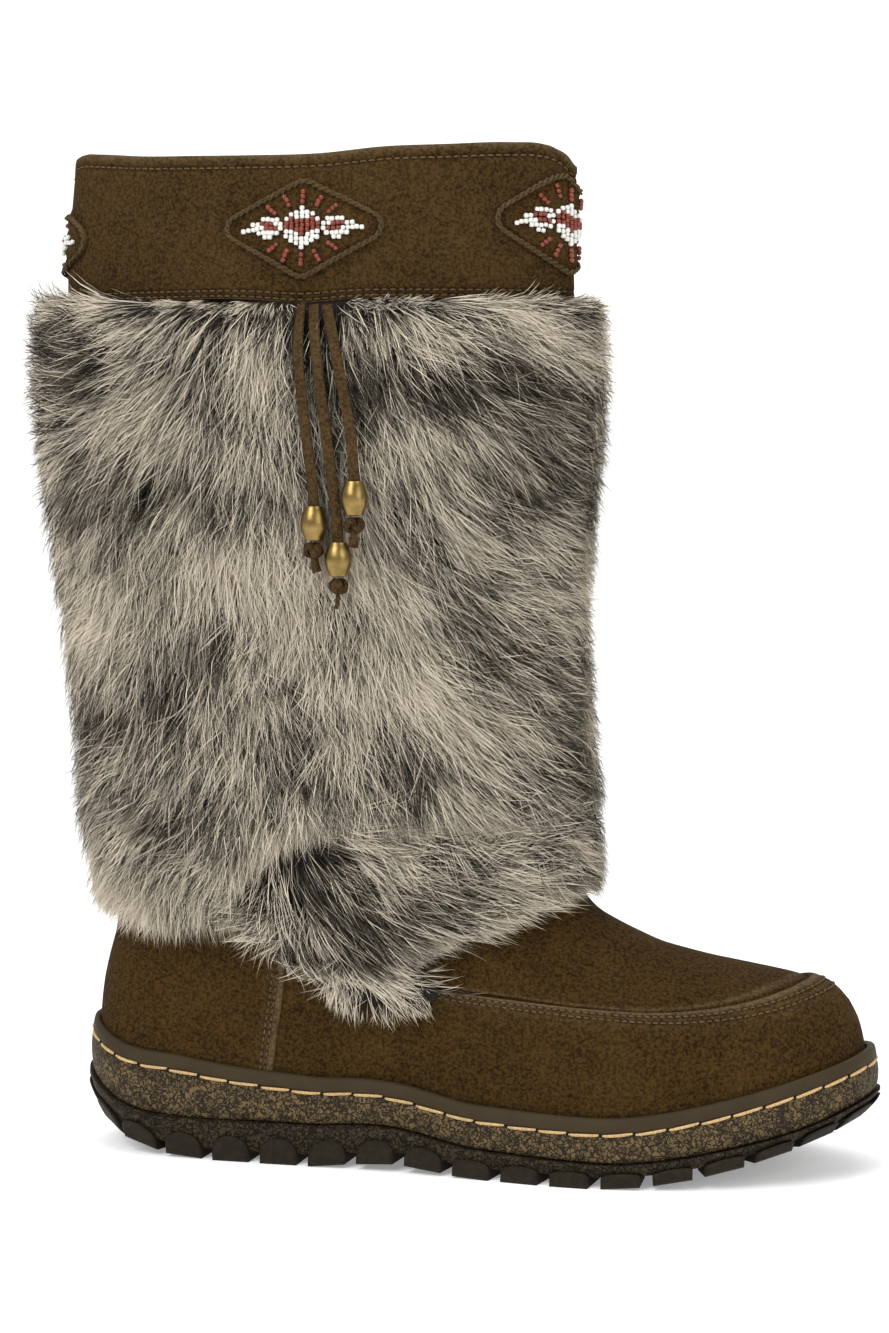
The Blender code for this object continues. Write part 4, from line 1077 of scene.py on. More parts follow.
def make_counter():
    """Rows up the heel, whose columns are close together by the two edges."""
    near = np.array(COUNTER_FOLD["distance"]) * MM
    rows, wear_and_shade, inner = [], [], []
    for level in np.linspace(0.0, COUNTER_TOP, 30):
        edge = edge_phi(level)
        speed = speed_round(edge, level)
        inside = edge - near / speed
        middle = np.linspace(inside[-1], -inside[-1], 40)[1:-1]
        phi = np.concatenate([inside, middle, -inside[::-1]])
        distance = (edge - np.abs(phi)) * speed
        rows.append(skin(phi, level + 0.0 * phi, GAP + COUNTER_WALL + fold(COUNTER_FOLD, distance)))
        wear_and_shade.append(fold(COUNTER_FOLD, distance, "wear_and_shade"))
        inner.append(skin(phi, level + 0.0 * phi, GAP + 0.0 * phi))
    open_band("heel_suede", rows + inner[::-1], SUEDE, ["counter"],
              wear_and_shade=np.array(wear_and_shade + [0.0 * wear_and_shade[0]] * len(inner)))


def stitches(name, starts, ends, normals, radius, material, lift=0.0):
    """Small stitches: each rises over its middle and dips at both ends."""
    part = np.linspace(0.0, 1.0, 5)[None, :, None]
    arch = np.sin(np.pi * part) ** 0.6
    paths = starts[:, None] * (1.0 - part) + ends[:, None] * part
    paths = paths + normals[:, None] * (lift + radius * (1.6 * arch - 0.9))
    thin = radius * (0.6 + 0.4 * arch[..., 0])
    vertices, faces = sweep(paths, np.broadcast_to(normals[:, None], paths.shape), thin, thin, 5)
    add_piece(name, vertices, faces, material)


def needle_hole_shading(name, places, normals, radius=0.00036):
    """A small near-black dimple where two stitches meet, painted shade of the needle hole: a short tube
    along the normal.
    """
    paths = np.stack([places - normals * 0.0004, places + normals * 0.00012], axis=1)
    ups = np.broadcast_to(np.array([0.0, 0.0, 1.0]), paths.shape)
    vertices, faces = sweep(paths, ups, radius, radius, 5)
    add_piece(name, vertices, faces, HOLE_SHADE)


def even_angles(low, high, pitch, line):
    """Angles between low and high, evenly spaced along the line that a function gives."""
    fine = np.linspace(low, high, 1500)
    run = np.concatenate([[0.0], np.cumsum(np.linalg.norm(np.diff(line(fine), axis=0), axis=1))])
    count = int(run[-1] / pitch)
    return np.interp(np.arange(count + 1) * pitch, run, fine)


def make_seam_stitches():
    """Stitches at even distances along the rows of both panels."""
    starts, ends, normals, holes, hole_normals = [], [], [], [], []

    def keep(at, normal, share):
        tilt = share * (at[1:] - at[:-1])
        starts.append(at[:-1] + tilt)
        ends.append(at[1:] - tilt)
        normals.append(unit(normal[1:] + normal[:-1]))
        holes.append(at)
        hole_normals.append(normal)

    low = edge_phi(0.9) + 0.02
    for distance in WALL_ROWS:
        def line(phi, distance=distance):
            return skin(*wall_point(phi, 0.0 * phi + distance * MM))
        marks = even_angles(low, 2.0 * np.pi - low, STITCH_PITCH, line)
        _, normal, _, _ = upper_frame(*wall_point(marks, 0.0 * marks + distance * MM)[:2])
        keep(line(marks), normal, 0.14)
    for side in (1.0, -1.0):
        for distance in COUNTER_ROWS:
            levels = np.linspace(0.05, COUNTER_TOP - 0.02, 24)
            edge = edge_phi(levels)
            speed = speed_round(edge, levels)
            phi = side * (edge - distance * MM / speed)
            _, normal, _, _ = upper_frame(phi, levels)
            keep(skin(phi, levels, GAP + COUNTER_WALL + fold(COUNTER_FOLD, distance * MM)), normal, 0.16)
    stitches("seam_stitches", np.concatenate(starts), np.concatenate(ends), np.concatenate(normals),
             STITCH_RADIUS, SEAM_THREAD, 0.0002)
    needle_hole_shading("seam_hole_shading", np.concatenate(holes), np.concatenate(hole_normals))


make_toe_wall()
make_counter()
make_seam_stitches()

# %% [markdown]
# The cuff is a wide band of suede with both edges turned in. A single row of stitches holds the top
# fold, and a double row holds the lower one. It sags by a fraction of a millimetre between them.

# %% Cuff
CUFF_LOW = COLLAR_HEIGHT - CUFF_DEPTH
TOP_ROW = 0.0042
LOW_ROWS = (0.0014, 0.0032)
CUFF_STITCH = 0.0029
DIP_AT, DIP_WIDTH, DIP_DEPTH = 1.60, 0.16, 0.0016


def on_cuff(phi, height, out):
    """A point over the flat of the cuff, which runs straight from its lower edge to the collar."""
    phi, height, out = np.broadcast_arrays(phi, height, out)
    part = ((height - CUFF_LOW) / CUFF_DEPTH)[..., None]
    bottom = skin(phi, level_at(share_of(phi), CUFF_LOW + 0.0 * phi), out)
    top = skin(phi, 3.0 + 0.0 * phi, out)
    return settled(bottom * (1.0 - part) + top * part, phi)


def cuff_relief(phi, height):
    """Grooves where the stitch rows pull, and slow waves of the cloth."""
    up = height - CUFF_LOW
    groove = sum(np.exp(-(((up - at) / 0.0006) ** 2)) for at in LOW_ROWS)
    groove = groove + 1.2 * np.exp(-(((up - (CUFF_DEPTH - TOP_ROW)) / 0.0008) ** 2))
    wave = 0.0005 * np.sin(5.0 * phi + 0.8) * np.sin(np.pi * up / CUFF_DEPTH)
    wave = wave + 0.0003 * np.sin(11.0 * phi + 90.0 * up)
    return wave - 0.00045 * groove


def low_edge(phi):
    """How far the lower edge hangs down where the thongs come out."""
    return DIP_DEPTH * np.exp(-(((phi - DIP_AT) / DIP_WIDTH) ** 2))


def cuff_wear_and_shade(up):
    """Pale along the folded edges where rubbed, and dark in the stitch grooves as painted shade."""
    groove = sum(np.exp(-(((up - at) / 0.0006) ** 2)) for at in LOW_ROWS + (CUFF_DEPTH - TOP_ROW,))
    edge = np.exp(-((up / 0.0008) ** 2)) + np.exp(-(((CUFF_DEPTH - up) / 0.0016) ** 2))
    return 0.6 * edge - 0.45 * groove + 0.08


def make_cuff():
    """A closed band: down the inside, round the lower edge, up the face, over the top."""
    phi = np.linspace(0.0, 2.0 * np.pi, 260, endpoint=False)
    flat = GAP + CUFF_WALL
    ups = np.concatenate([np.linspace(0.0005, 0.0045, 14), np.linspace(0.0060, 0.0440, 18),
                          np.linspace(0.0460, 0.0513, 10)])
    rows = [on_cuff(phi, CUFF_LOW, GAP)]
    rows.append(on_cuff(phi, CUFF_LOW, flat - 0.0008))
    rows += [on_cuff(phi, CUFF_LOW + up, flat + cuff_relief(phi, CUFF_LOW + up)) for up in ups]
    rows.append(on_cuff(phi, COLLAR_HEIGHT, flat - 0.0005))
    rows.append(on_cuff(phi, COLLAR_HEIGHT + 0.0003, flat - 0.0014))
    rows.append(on_cuff(phi, COLLAR_HEIGHT, GAP))
    rows = np.array(rows)
    up = rows[..., 2] - CUFF_LOW
    rows[..., 2] -= low_edge(phi)[None] * (1.0 - ease(0.0, 0.012, up))
    wear_and_shade = cuff_wear_and_shade(np.concatenate([[0.0, 0.0], ups, [CUFF_DEPTH] * 3]))
    return band("cuff_suede", rows, SUEDE, ["cuff"], wear_and_shade=wear_and_shade[:, None] + 0.0 * up)


def make_cuff_stitches():
    """Stitches at even distances round the cuff, in its three grooves."""
    starts, ends, normals, holes, hole_normals = [], [], [], [], []
    for up in LOW_ROWS + (CUFF_DEPTH - TOP_ROW,):
        def line(phi, up=up):
            height = CUFF_LOW + up
            at = on_cuff(phi, height, GAP + CUFF_WALL + cuff_relief(phi, height))
            at[..., 2] -= low_edge(phi) * (1.0 - ease(0.0, 0.012, up))
            return at
        marks = even_angles(0.0, 2.0 * np.pi, CUFF_STITCH, line)
        at = line(marks)
        tilt = 0.14 * (at[1:] - at[:-1])
        starts.append(at[:-1] + tilt)
        ends.append(at[1:] - tilt)
        _, normal, _, _ = upper_frame(marks, 2.9)
        normals.append(unit(normal[1:] + normal[:-1]))
        holes.append(at)
        hole_normals.append(normal)
    stitches("cuff_stitches", np.concatenate(starts), np.concatenate(ends), np.concatenate(normals),
             STITCH_RADIUS, SEAM_THREAD, 0.0002)
    needle_hole_shading("cuff_hole_shading", np.concatenate(holes), np.concatenate(hole_normals))


make_cuff()
make_cuff_stitches()

# %% [markdown]
# Each side of the cuff has a diamond of suede with beadwork. A flat chart in millimetres, across
# and up from the diamond's middle, is laid round the cuff by the length along it. The diamond is a
# rounded one, edged with a twisted cord. The pattern is the common one of a stepped rosette between
# two leaves, with short dashes of three beads round it.

# %% Diamonds
PATCHES = {
    "patch_front": (0.012, 0.10),
    "patch_outer": (0.243, 0.04),
    "patch_back": (0.530, -0.03),
    "patch_inner": (0.790, 0.0),
}
PATCH_WIDTH = 0.055
PATCH_HEIGHT = 0.036
PATCH_THICKNESS = 0.0012
PATCH_CENTRE = CUFF_LOW + 0.0235
PATCH_CORNER = 0.0050
CORD_RADIUS = 0.00055
CORD_PITCH = 0.0048

wide = np.linspace(-2.0 * np.pi, 2.0 * np.pi, 1601)
wide_line = on_cuff(wide, PATCH_CENTRE, 2.0 * GAP + CUFF_WALL)
wide_run = np.concatenate([[0.0], np.cumsum(np.linalg.norm(np.diff(wide_line, axis=0), axis=1))])
GIRTH = wide_run[-1] / 2.0


def on_patch(place, across, up, out):
    """The chart's point on the cuff, and the outward normal there."""
    share, lift = place
    middle = np.interp(np.pi, wide, wide_run) - share * GIRTH
    across, up, out = np.broadcast_arrays(across, up, out)
    phi = np.interp(middle + across, wide_run, wide)
    height = PATCH_CENTRE + PATCH_HEIGHT * lift + up
    point = on_cuff(phi, height, GAP + CUFF_WALL + cuff_relief(phi, height) + out)
    _, normal, _, _ = upper_frame(phi, level_at(share_of(phi), height))
    return point, normal


def diamond(turn):
    """A rhombus drawn in by the corner's radius, with a disc of that radius rolled round it."""
    wide_half, high_half = PATCH_WIDTH / 2.0 - PATCH_CORNER, PATCH_HEIGHT / 2.0 - PATCH_CORNER
    side = np.arctan2(wide_half, high_half)
    normal = np.concatenate([np.linspace(-side, side, 15), np.linspace(side, np.pi - side, 9),
                             np.linspace(np.pi - side, np.pi + side, 15),
                             np.linspace(np.pi + side, 2.0 * np.pi - side, 9)])
    corner = np.array([[wide_half, 0.0], [0.0, high_half], [-wide_half, 0.0], [0.0, -high_half]])
    corner = np.repeat(corner, (15, 9, 15, 9), axis=0)
    outline = corner + PATCH_CORNER * np.stack([np.cos(normal), np.sin(normal)], axis=1)
    outline = np.concatenate([outline, outline[:1]])
    run = np.concatenate([[0.0], np.cumsum(np.hypot(*np.diff(outline, axis=0).T))])
    at = run[-1] * turn / (2.0 * np.pi)
    return np.interp(at, run, outline[:, 0]), np.interp(at, run, outline[:, 1])


def make_patch(name, place):
    """The diamond scaled by each part of the profile, from edge to middle."""
    turn = np.linspace(0.0, 2.0 * np.pi, 96, endpoint=False)
    across, up = diamond(turn)
    profile = ((1.0, 0.0001), (1.0, 0.0008), (0.985, PATCH_THICKNESS), (0.93, PATCH_THICKNESS + 0.0001),
               (0.80, PATCH_THICKNESS), (0.60, PATCH_THICKNESS), (0.40, PATCH_THICKNESS),
               (0.20, PATCH_THICKNESS), (0.02, PATCH_THICKNESS))
    rows = np.array([on_patch(place, across * part, up * part, out)[0] for part, out in profile])
    faces = quads(len(profile), 96, False, True).tolist()
    last = (len(profile) - 1) * 96
    faces += [list(range(96)), list(range(last, last + 96))]
    # Pale on the raised rim. The dark ring just inside the border cord is painted shade beside the cord.
    wear_and_shade = np.repeat([0.2, 0.3, 0.2, -0.5, 0.0, 0.1, 0.1, 0.1, 0.1], 96)
    add_piece(name + "_suede", rows, faces, PATCH_SUEDE, [name], wear_and_shade=wear_and_shade)


def make_border(name, place):
    """Two strands twisted round each other, along the diamond's edge."""
    turn = np.linspace(0.0, 2.0 * np.pi, 721)
    across, up = diamond(turn)
    across, up = across * 0.975, up * 0.965
    run = np.concatenate([[0.0], np.cumsum(np.hypot(np.diff(across), np.diff(up)))])
    twists = int(round(run[-1] / CORD_PITCH))
    marks = np.linspace(0.0, run[-1], twists * 8 + 1)[:-1]
    angle = 2.0 * np.pi * twists * marks / run[-1]
    a = np.interp(marks, run, across)
    u = np.interp(marks, run, up)
    parts = []
    for phase in (0.0, np.pi):
        swing = CORD_RADIUS * 0.95 * np.cos(angle + phase)
        lift = CORD_RADIUS * 0.95 * np.sin(angle + phase)
        length = np.hypot(a, u)
        centre, normal = on_patch(place, a * (1.0 + swing / length), u * (1.0 + swing / length),
                                  PATCH_THICKNESS + CORD_RADIUS * 0.6 + lift)
        vertices = ring_sweep(centre, normal, CORD_RADIUS, 4)
        parts.append((vertices, quads(len(centre), 4, True, True).tolist()))
    vertices, faces = merged(parts)
    add_piece(name + "_border", vertices, faces, BORDER_CORD)


def ring_sweep(centre, normal, radius, sides):
    """Vertices of a tube along a closed path."""
    ahead = unit(np.roll(centre, -1, axis=0) - np.roll(centre, 1, axis=0))
    side = unit(np.cross(ahead, normal))
    lift = np.cross(side, ahead)
    turn = 2.0 * np.pi * np.arange(sides) / sides
    rings = (centre[:, None] + radius * (side[:, None] * np.cos(turn)[None, :, None]
                                         + lift[:, None] * np.sin(turn)[None, :, None]))
    return rings.reshape(-1, 3)


for name, place in PATCHES.items():
    make_patch(name, place)
    make_border(name, place)

# %% [markdown]
# The beads are sewn on in short runs. A run starts at a place on the chart and goes in a direction,
# and a word gives its colours: W for white, R for red. A bead is a small turned barrel of six sides,
# so that several hundred of them stay light.

# %% Seed beads
BEAD_PITCH = 1.62
BEAD_RADIUS = 0.00088
ROSETTE = ((-5.4, -3.4, "WWRRW"), (-3.6, -5.0, "WWWRRRW"), (-1.8, -5.8, "WWWRRRWW"),
           (0.0, -7.4, "WWWRRRRWWW"), (1.8, -5.8, "WWWRRRWW"), (3.6, -5.0, "WWWRRRW"),
           (5.4, -3.4, "WWRRW"))
LEAF = ((8.6, 2.9, "WWWW"), (7.4, 1.3, "WWRRRWW"), (7.4, -0.4, "WRRRWWWWW"), (8.6, -2.1, "WWWWW"),
        (11.0, -3.7, "WW"))
DASHES = ((-10.2, 6.0, 140.0), (-5.2, 9.4, 115.0), (0.0, 10.6, 90.0), (5.2, 9.0, 65.0),
          (9.6, 6.2, 42.0), (-9.4, -6.8, 222.0), (-5.2, -9.4, 242.0), (0.0, -10.8, 270.0),
          (4.9, -9.6, 296.0), (9.8, -6.4, 322.0))


def chart():
    """All bead places in millimetres, the direction of each bead's hole and its colour."""
    rows = []
    for across, up, word in ROSETTE:
        rows += [(across, up + k * BEAD_PITCH, 90.0, c) for k, c in enumerate(word)]
    for side in (1.0, -1.0):
        for across, up, word in LEAF:
            lean = 0.22 if side < 0.0 else 0.0
            rows += [(side * (across + k * BEAD_PITCH), up + lean * k * (0.5 - k / 8.0), 0.0, c)
                     for k, c in enumerate(word)]
    for across, up, angle in DASHES:
        c, s = BEAD_PITCH * np.cos(np.radians(angle)), BEAD_PITCH * np.sin(np.radians(angle))
        rows += [(across + k * c, up + k * s, angle, "R") for k in (-0.5, 0.5, 1.5)]
    return rows


def make_beads(name, place, colour, material, rng):
    """Barrels of one colour at the chart's places, each a little off in place, turn and size."""
    rows = [row for row in chart() if row[3] == colour]
    across, up, angle = (np.array([row[k] for row in rows]) for k in range(3))
    across = (across + rng.normal(0.0, 0.10, len(rows))) * MM
    up = (up + rng.normal(0.0, 0.12, len(rows))) * MM
    angle = np.radians(angle + rng.normal(0.0, 7.0, len(rows)))
    lift = PATCH_THICKNESS + BEAD_RADIUS * 0.8
    centre, normal = on_patch(place, across, up, lift)
    ahead, _ = on_patch(place, across + 0.0006 * np.cos(angle), up + 0.0006 * np.sin(angle), lift)
    axis = unit(ahead - centre)
    size = BEAD_RADIUS * rng.uniform(0.92, 1.08, len(rows))
    along = np.array([-0.90, -0.55, 0.55, 0.90])
    thick = np.array([0.62, 1.0, 1.0, 0.62])
    paths = centre[:, None] + axis[:, None] * along[None, :, None] * size[:, None, None]
    radius = thick[None] * size[:, None]
    vertices, faces = sweep(paths, np.broadcast_to(normal[:, None], paths.shape), radius, radius, 6)
    add_piece(name, vertices, faces, material)


bead_rng = np.random.default_rng(21)
for name, place in PATCHES.items():
    make_beads(name + "_white_beads", place, "W", WHITE_BEAD, bead_rng)
    make_beads(name + "_red_beads", place, "R", RED_BEAD, bead_rng)

# %% [markdown]
# The fur is real geometry. Each hair is a thin ribbon of four triangles, rooted on the boot's own
# surface. It leaves the surface, bends over and runs along it in a combing direction that turns from
# backwards at the heel to forwards at the shin, as the pelt was laid. Hairs grow in small loose locks.
# A map of light and dark places, part noise and part listed, gives the mottled coat.

# %% Fur: combing and tone
LEAN = {
    "share": (0.00, 0.15, 0.30, 0.45, 0.55, 0.65, 0.75, 0.85, 1.00),
    "top": (-92.0, -78.0, -34.0, -8.0, 4.0, 24.0, 48.0, 68.0, 78.0),
    "high": (-38.0, -28.0, -15.0, -4.0, 4.0, 22.0, 42.0, 58.0, 65.0),
    "low": (-55.0, -48.0, -35.0, -8.0, 8.0, 25.0, 40.0, 55.0, 60.0),
}
FUR_DEPTHS = {
    "height": (0.100, 0.116, 0.160, 0.200, 0.244, 0.272, 0.300),
    "share": (0.78, 1.02, 0.98, 0.92, 1.06, 1.16, 1.05),
}
FAN_AT, FAN_REACH = 0.106, 0.019
# Light and dark places of the coat: along the boot, height, half length, half height, tone
MARKS = (
    (27, 278, 20, 8, -0.5), (14, 286, 14, 7, -0.4), (61, 273, 8, 16, -0.5), (62, 240, 7, 12, -0.4),
    (8, 236, 10, 14, -0.35), (141, 278, 22, 7, -0.6), (160, 275, 14, 8, -0.5), (132, 271, 10, 6, -0.6),
    (105, 287, 9, 9, -0.6), (164, 241, 14, 10, -0.5), (146, 236, 10, 8, -0.5), (130, 206, 9, 16, -0.55),
    (55, 191, 12, 12, -0.45), (42, 175, 12, 12, -0.45), (154, 180, 18, 9, -0.45), (27, 159, 16, 12, -0.5),
    (21, 130, 14, 12, -0.4), (47, 115, 14, 8, -0.45), (68, 101, 9, 12, -0.5), (148, 132, 16, 9, -0.55),
    (79, 282, 8, 12, 0.45), (69, 268, 6, 12, 0.35), (12, 298, 16, 6, 0.5), (110, 292, 12, 7, 0.5),
    (97, 212, 16, 26, 0.35), (97, 180, 20, 24, 0.30), (188, 230, 10, 50, 0.35), (48, 223, 12, 14, 0.2),
    (18, 209, 10, 20, 0.25), (169, 287, 14, 7, 0.3), (14, 106, 16, 10, 0.35), (28, 93, 18, 7, 0.3),
    (59, 106, 8, 8, 0.3),
)
FLAP_MARKS = (
    (132, 111, 11, 4, -0.7), (93, 102, 10, 5, -0.3), (121, 96, 10, 4, -0.4), (175, 104, 10, 6, -0.4),
    (142, 73, 8, 5, -0.3), (101, 80, 10, 5, -0.4), (100, 119, 14, 4, 0.6), (130, 119, 16, 4, 0.6),
    (96, 68, 9, 9, 0.7), (115, 88, 10, 5, 0.5), (86, 88, 8, 7, 0.4), (172, 93, 16, 6, 0.5),
    (120, 66, 10, 6, 0.3),
)


def value_noise(x, y, seed):
    """Smooth noise between 0 and 1: random numbers on whole points, blended between them."""
    table = np.random.default_rng(seed).random((64, 64))
    i, j = np.floor(x).astype(int), np.floor(y).astype(int)
    u, v = ease(0.0, 1.0, x - i), ease(0.0, 1.0, y - j)
    a, b = table[i % 64, j % 64], table[(i + 1) % 64, j % 64]
    c, d = table[i % 64, (j + 1) % 64], table[(i + 1) % 64, (j + 1) % 64]
    return (a * (1.0 - u) + b * u) * (1.0 - v) + (c * (1.0 - u) + d * u) * v


def tone_map(point, marks, seed):
    """0 for a dark place, 1 for a light one."""
    x, y, z = (point[..., k] / MM for k in range(3))
    along = x + HEEL_CENTRE / MM
    side = np.where(y < 0.0, 0.0, 300.0)
    broad = value_noise((along + side) / 17.0, z / 22.0, seed)
    small = value_noise((along + side) / 4.5, z / 8.0, seed + 1)
    tone = 0.36 + 0.85 * (broad - 0.5) + 0.95 * (small - 0.5)
    for at, height, half_length, half_height, weight in marks:
        far = ((along - at) / half_length) ** 2 + ((z - height) / half_height) ** 2
        tone = tone + weight * np.exp(-far)
    return tone


def shaft_lean(share, height):
    """Combing direction in degrees from straight down, towards the front."""
    top, high, low = (smooth(share, LEAN["share"], LEAN[row]) for row in ("top", "high", "low"))
    mix = ease(0.125, 0.185, height)
    lower = high * mix + low * (1.0 - mix)
    flare = ease(0.225, 0.285, height)
    return lower * (1.0 - flare) + top * flare


def flap_lean(share, height):
    """As shaft_lean: a fan that opens from the flap's point, and above it hair combed along the boot."""
    back, front = section("back", height), section("front", height)
    along = SOLE_LENGTH * (back + (front - back) * share)
    fan = np.degrees(np.arctan2(along - FAN_AT, FAN_REACH))
    above = 84.0 * ease(0.40, 0.52, share) - 50.0 * (1.0 - ease(0.34, 0.42, share))
    band_mix = ease(0.092, 0.106, height)
    return fan * (1.0 - band_mix) + above * band_mix


def edge_lean(share, height):
    """Fluff that stands out under the cuff's edge and up over it, turned to the nearer end of the boot."""
    return -104.0 + 214.0 * ease(0.36, 0.56, share) + 0.0 * height


# %% [markdown]
# A hair's path has four points. With u from root to tip, it stands out from the surface by
# depth * (1 - (1 - u) squared) and runs along the comb by length * u * (0.6 + 0.4 u). The run is
# walked over the surface in three steps, so a hair bends round the ankle with the boot. A fifth of
# each path is the straight line instead, which lets hair stick out past the front and the back. Near
# the lower hem the hairs are short, so that their tips end in one soft line.

# %% Fur: growing the hairs
HAIR_STEPS = np.array([0.0, 0.34, 0.70, 1.0])
HAIR_WIDTH = 0.00028
HAIR_LENGTH = 0.028
FUR_DEPTH = 0.0150
FRINGE = 0.0075
LOCK_SPREAD = 0.0022
LOCK_DRAW = 0.34
HAIRS_PER_LOCK = 28
STRAIGHT_SHARE = 0.22
RIDGE_WRAP = 0.10


def walk_over(phi, height, angle, run):
    """Surface points and normals after each run, walked from (phi, height) at an angle from down."""
    sign = np.where(np.sin(phi) >= 0.0, 1.0, -1.0)
    lowest = np.floor(phi / np.pi) * np.pi - RIDGE_WRAP
    points, normals = [], []
    before = 0.0
    for k, far in enumerate(run):
        level = level_at(share_of(phi), height)
        speed = speed_round(phi, level)
        step = far - before
        before = far
        if k:
            phi = phi + sign * step * np.sin(angle) / np.maximum(speed, 0.012)
            phi = np.clip(phi, lowest, lowest + np.pi + 2.0 * RIDGE_WRAP)
            height = height - step * np.cos(angle) * steep
            level = level_at(share_of(phi), height)
        point, normal, around, upward = upper_frame(phi, level)
        steep = np.maximum(upward[..., 2], 0.3)
        point[..., 2] += np.maximum(height - COLLAR_HEIGHT, 0.0)
        points.append(point)
        normals.append(normal)
        if k == 0:
            forward = around * sign[..., None]
            comb = forward * np.sin(angle)[..., None] - upward * np.cos(angle)[..., None]
    return points, normals, comb


def grow(name, phi, height, hem, fringe, lean_at, marks, seat, depth, length, rng, lighter=0.0, swirl=1.0):
    """Hairs round each lock's centre (phi, height), as one mesh of ribbons."""
    level = level_at(share_of(phi), height)
    base = upper_point(phi, level)
    speed = speed_round(phi, level)
    locks = len(phi)
    shape = (locks, HAIRS_PER_LOCK)
    spread = LOCK_SPREAD * rng.uniform(0.7, 1.5, (locks, 1))
    aside = rng.normal(0.0, 1.0, shape) * spread
    above = rng.normal(0.0, 1.0, shape) * spread * 1.2
    hair_phi = phi[:, None] + aside / np.maximum(speed, 0.006)[:, None]
    hair_height = height[:, None] + above
    low = hem(share_of(hair_phi)) + 0.003
    hair_height = np.clip(hair_height, low, CUFF_LOW - rng.uniform(0.0004, 0.0016, shape))
    hair_share = share_of(hair_phi)
    lock_turn = swirl * rng.normal(0.0, 13.0, (locks, 1))
    wave = swirl * 40.0 * (value_noise(base[:, 0] / 0.015 + 9.0, base[:, 2] / 0.019, 77) - 0.5)[:, None]
    angle = np.radians(lean_at(hair_share, hair_height) + lock_turn + wave + rng.normal(0.0, 10.0, shape))
    near_cuff = 1.0 - ease(0.0, 0.020, CUFF_LOW - hair_height)
    reach = length * (1.0 - 0.25 * near_cuff) * rng.uniform(0.62, 1.12, shape)
    reach = reach * rng.uniform(0.85, 1.15, (locks, 1))
    sign = np.where(np.sin(hair_phi) >= 0.0, 1.0, -1.0)
    hair_speed = np.interp(np.abs(np.sin(hair_phi)), (0.0, 1.0), (0.030, np.mean(speed) + 0.010))
    tip_phi = hair_phi + sign * 0.8 * reach * np.sin(angle) / hair_speed
    over_hem = hair_height - hem(share_of(tip_phi)) + fringe * rng.uniform(0.2, 1.3, shape)
    down = np.cos(angle) * reach
    reach = reach * np.where(down > 0.001, np.clip(over_hem / np.maximum(down, 0.001), 0.18, 1.0), 1.0)
    room = np.clip((hair_height - low + fringe) / (0.8 * HAIR_LENGTH), 0.0, 1.0)
    deep = depth * smooth(hair_height, FUR_DEPTHS["height"], FUR_DEPTHS["share"])
    stand = deep * rng.uniform(0.40, 1.0, shape) ** 0.8 * rng.uniform(0.85, 1.02, (locks, 1))
    stand = stand * (0.40 + 0.60 * ease(0.12, 0.7, room))
    run = [reach * u * (0.6 + 0.4 * u) for u in HAIR_STEPS]
    points, normals, comb = walk_over(hair_phi, hair_height, angle, run)
    start, upright = points[0], normals[0]
    out = [(seat + stand * (1.0 - (1.0 - u) ** 2))[..., None] for u in HAIR_STEPS]
    follow = np.stack([point + normal * o for point, normal, o in zip(points, normals, out)], axis=2)
    straight = np.stack([start + comb * r[..., None] + upright * o for r, o in zip(run, out)], axis=2)
    path = follow * (1.0 - STRAIGHT_SHARE) + straight * STRAIGHT_SHARE
    u = HAIR_STEPS[None, None, :, None]
    centre = np.average(start, axis=1, keepdims=True)
    draw = LOCK_DRAW * rng.uniform(0.0, 1.5, (locks, 1, 1, 1)) * u ** 1.5
    path = path - (start - centre)[:, :, None] * draw
    across = np.cross(upright, comb)
    bend = rng.normal(0.0, 0.13, shape)[:, :, None, None] * reach[:, :, None, None] * u ** 2
    path = path + across[:, :, None] * bend
    path[..., 2] -= 0.0012 * HAIR_STEPS ** 2
    roll = rng.normal(0.0, 0.55, shape)[..., None]
    facing = unit(across) * np.cos(roll) + upright * np.sin(roll)
    guard = np.where(rng.random(shape) < 0.36, 0.36, -0.16)
    tone = tone_map(start, marks, 31) + rng.normal(0.0, 0.15, (locks, 1))
    tone = tone + rng.normal(0.0, 0.18, shape) + guard
    return ribbons(name, path.reshape(-1, 4, 3), facing.reshape(-1, 3),
                   np.clip(tone + lighter, 0.02, 0.98).ravel(), rng)


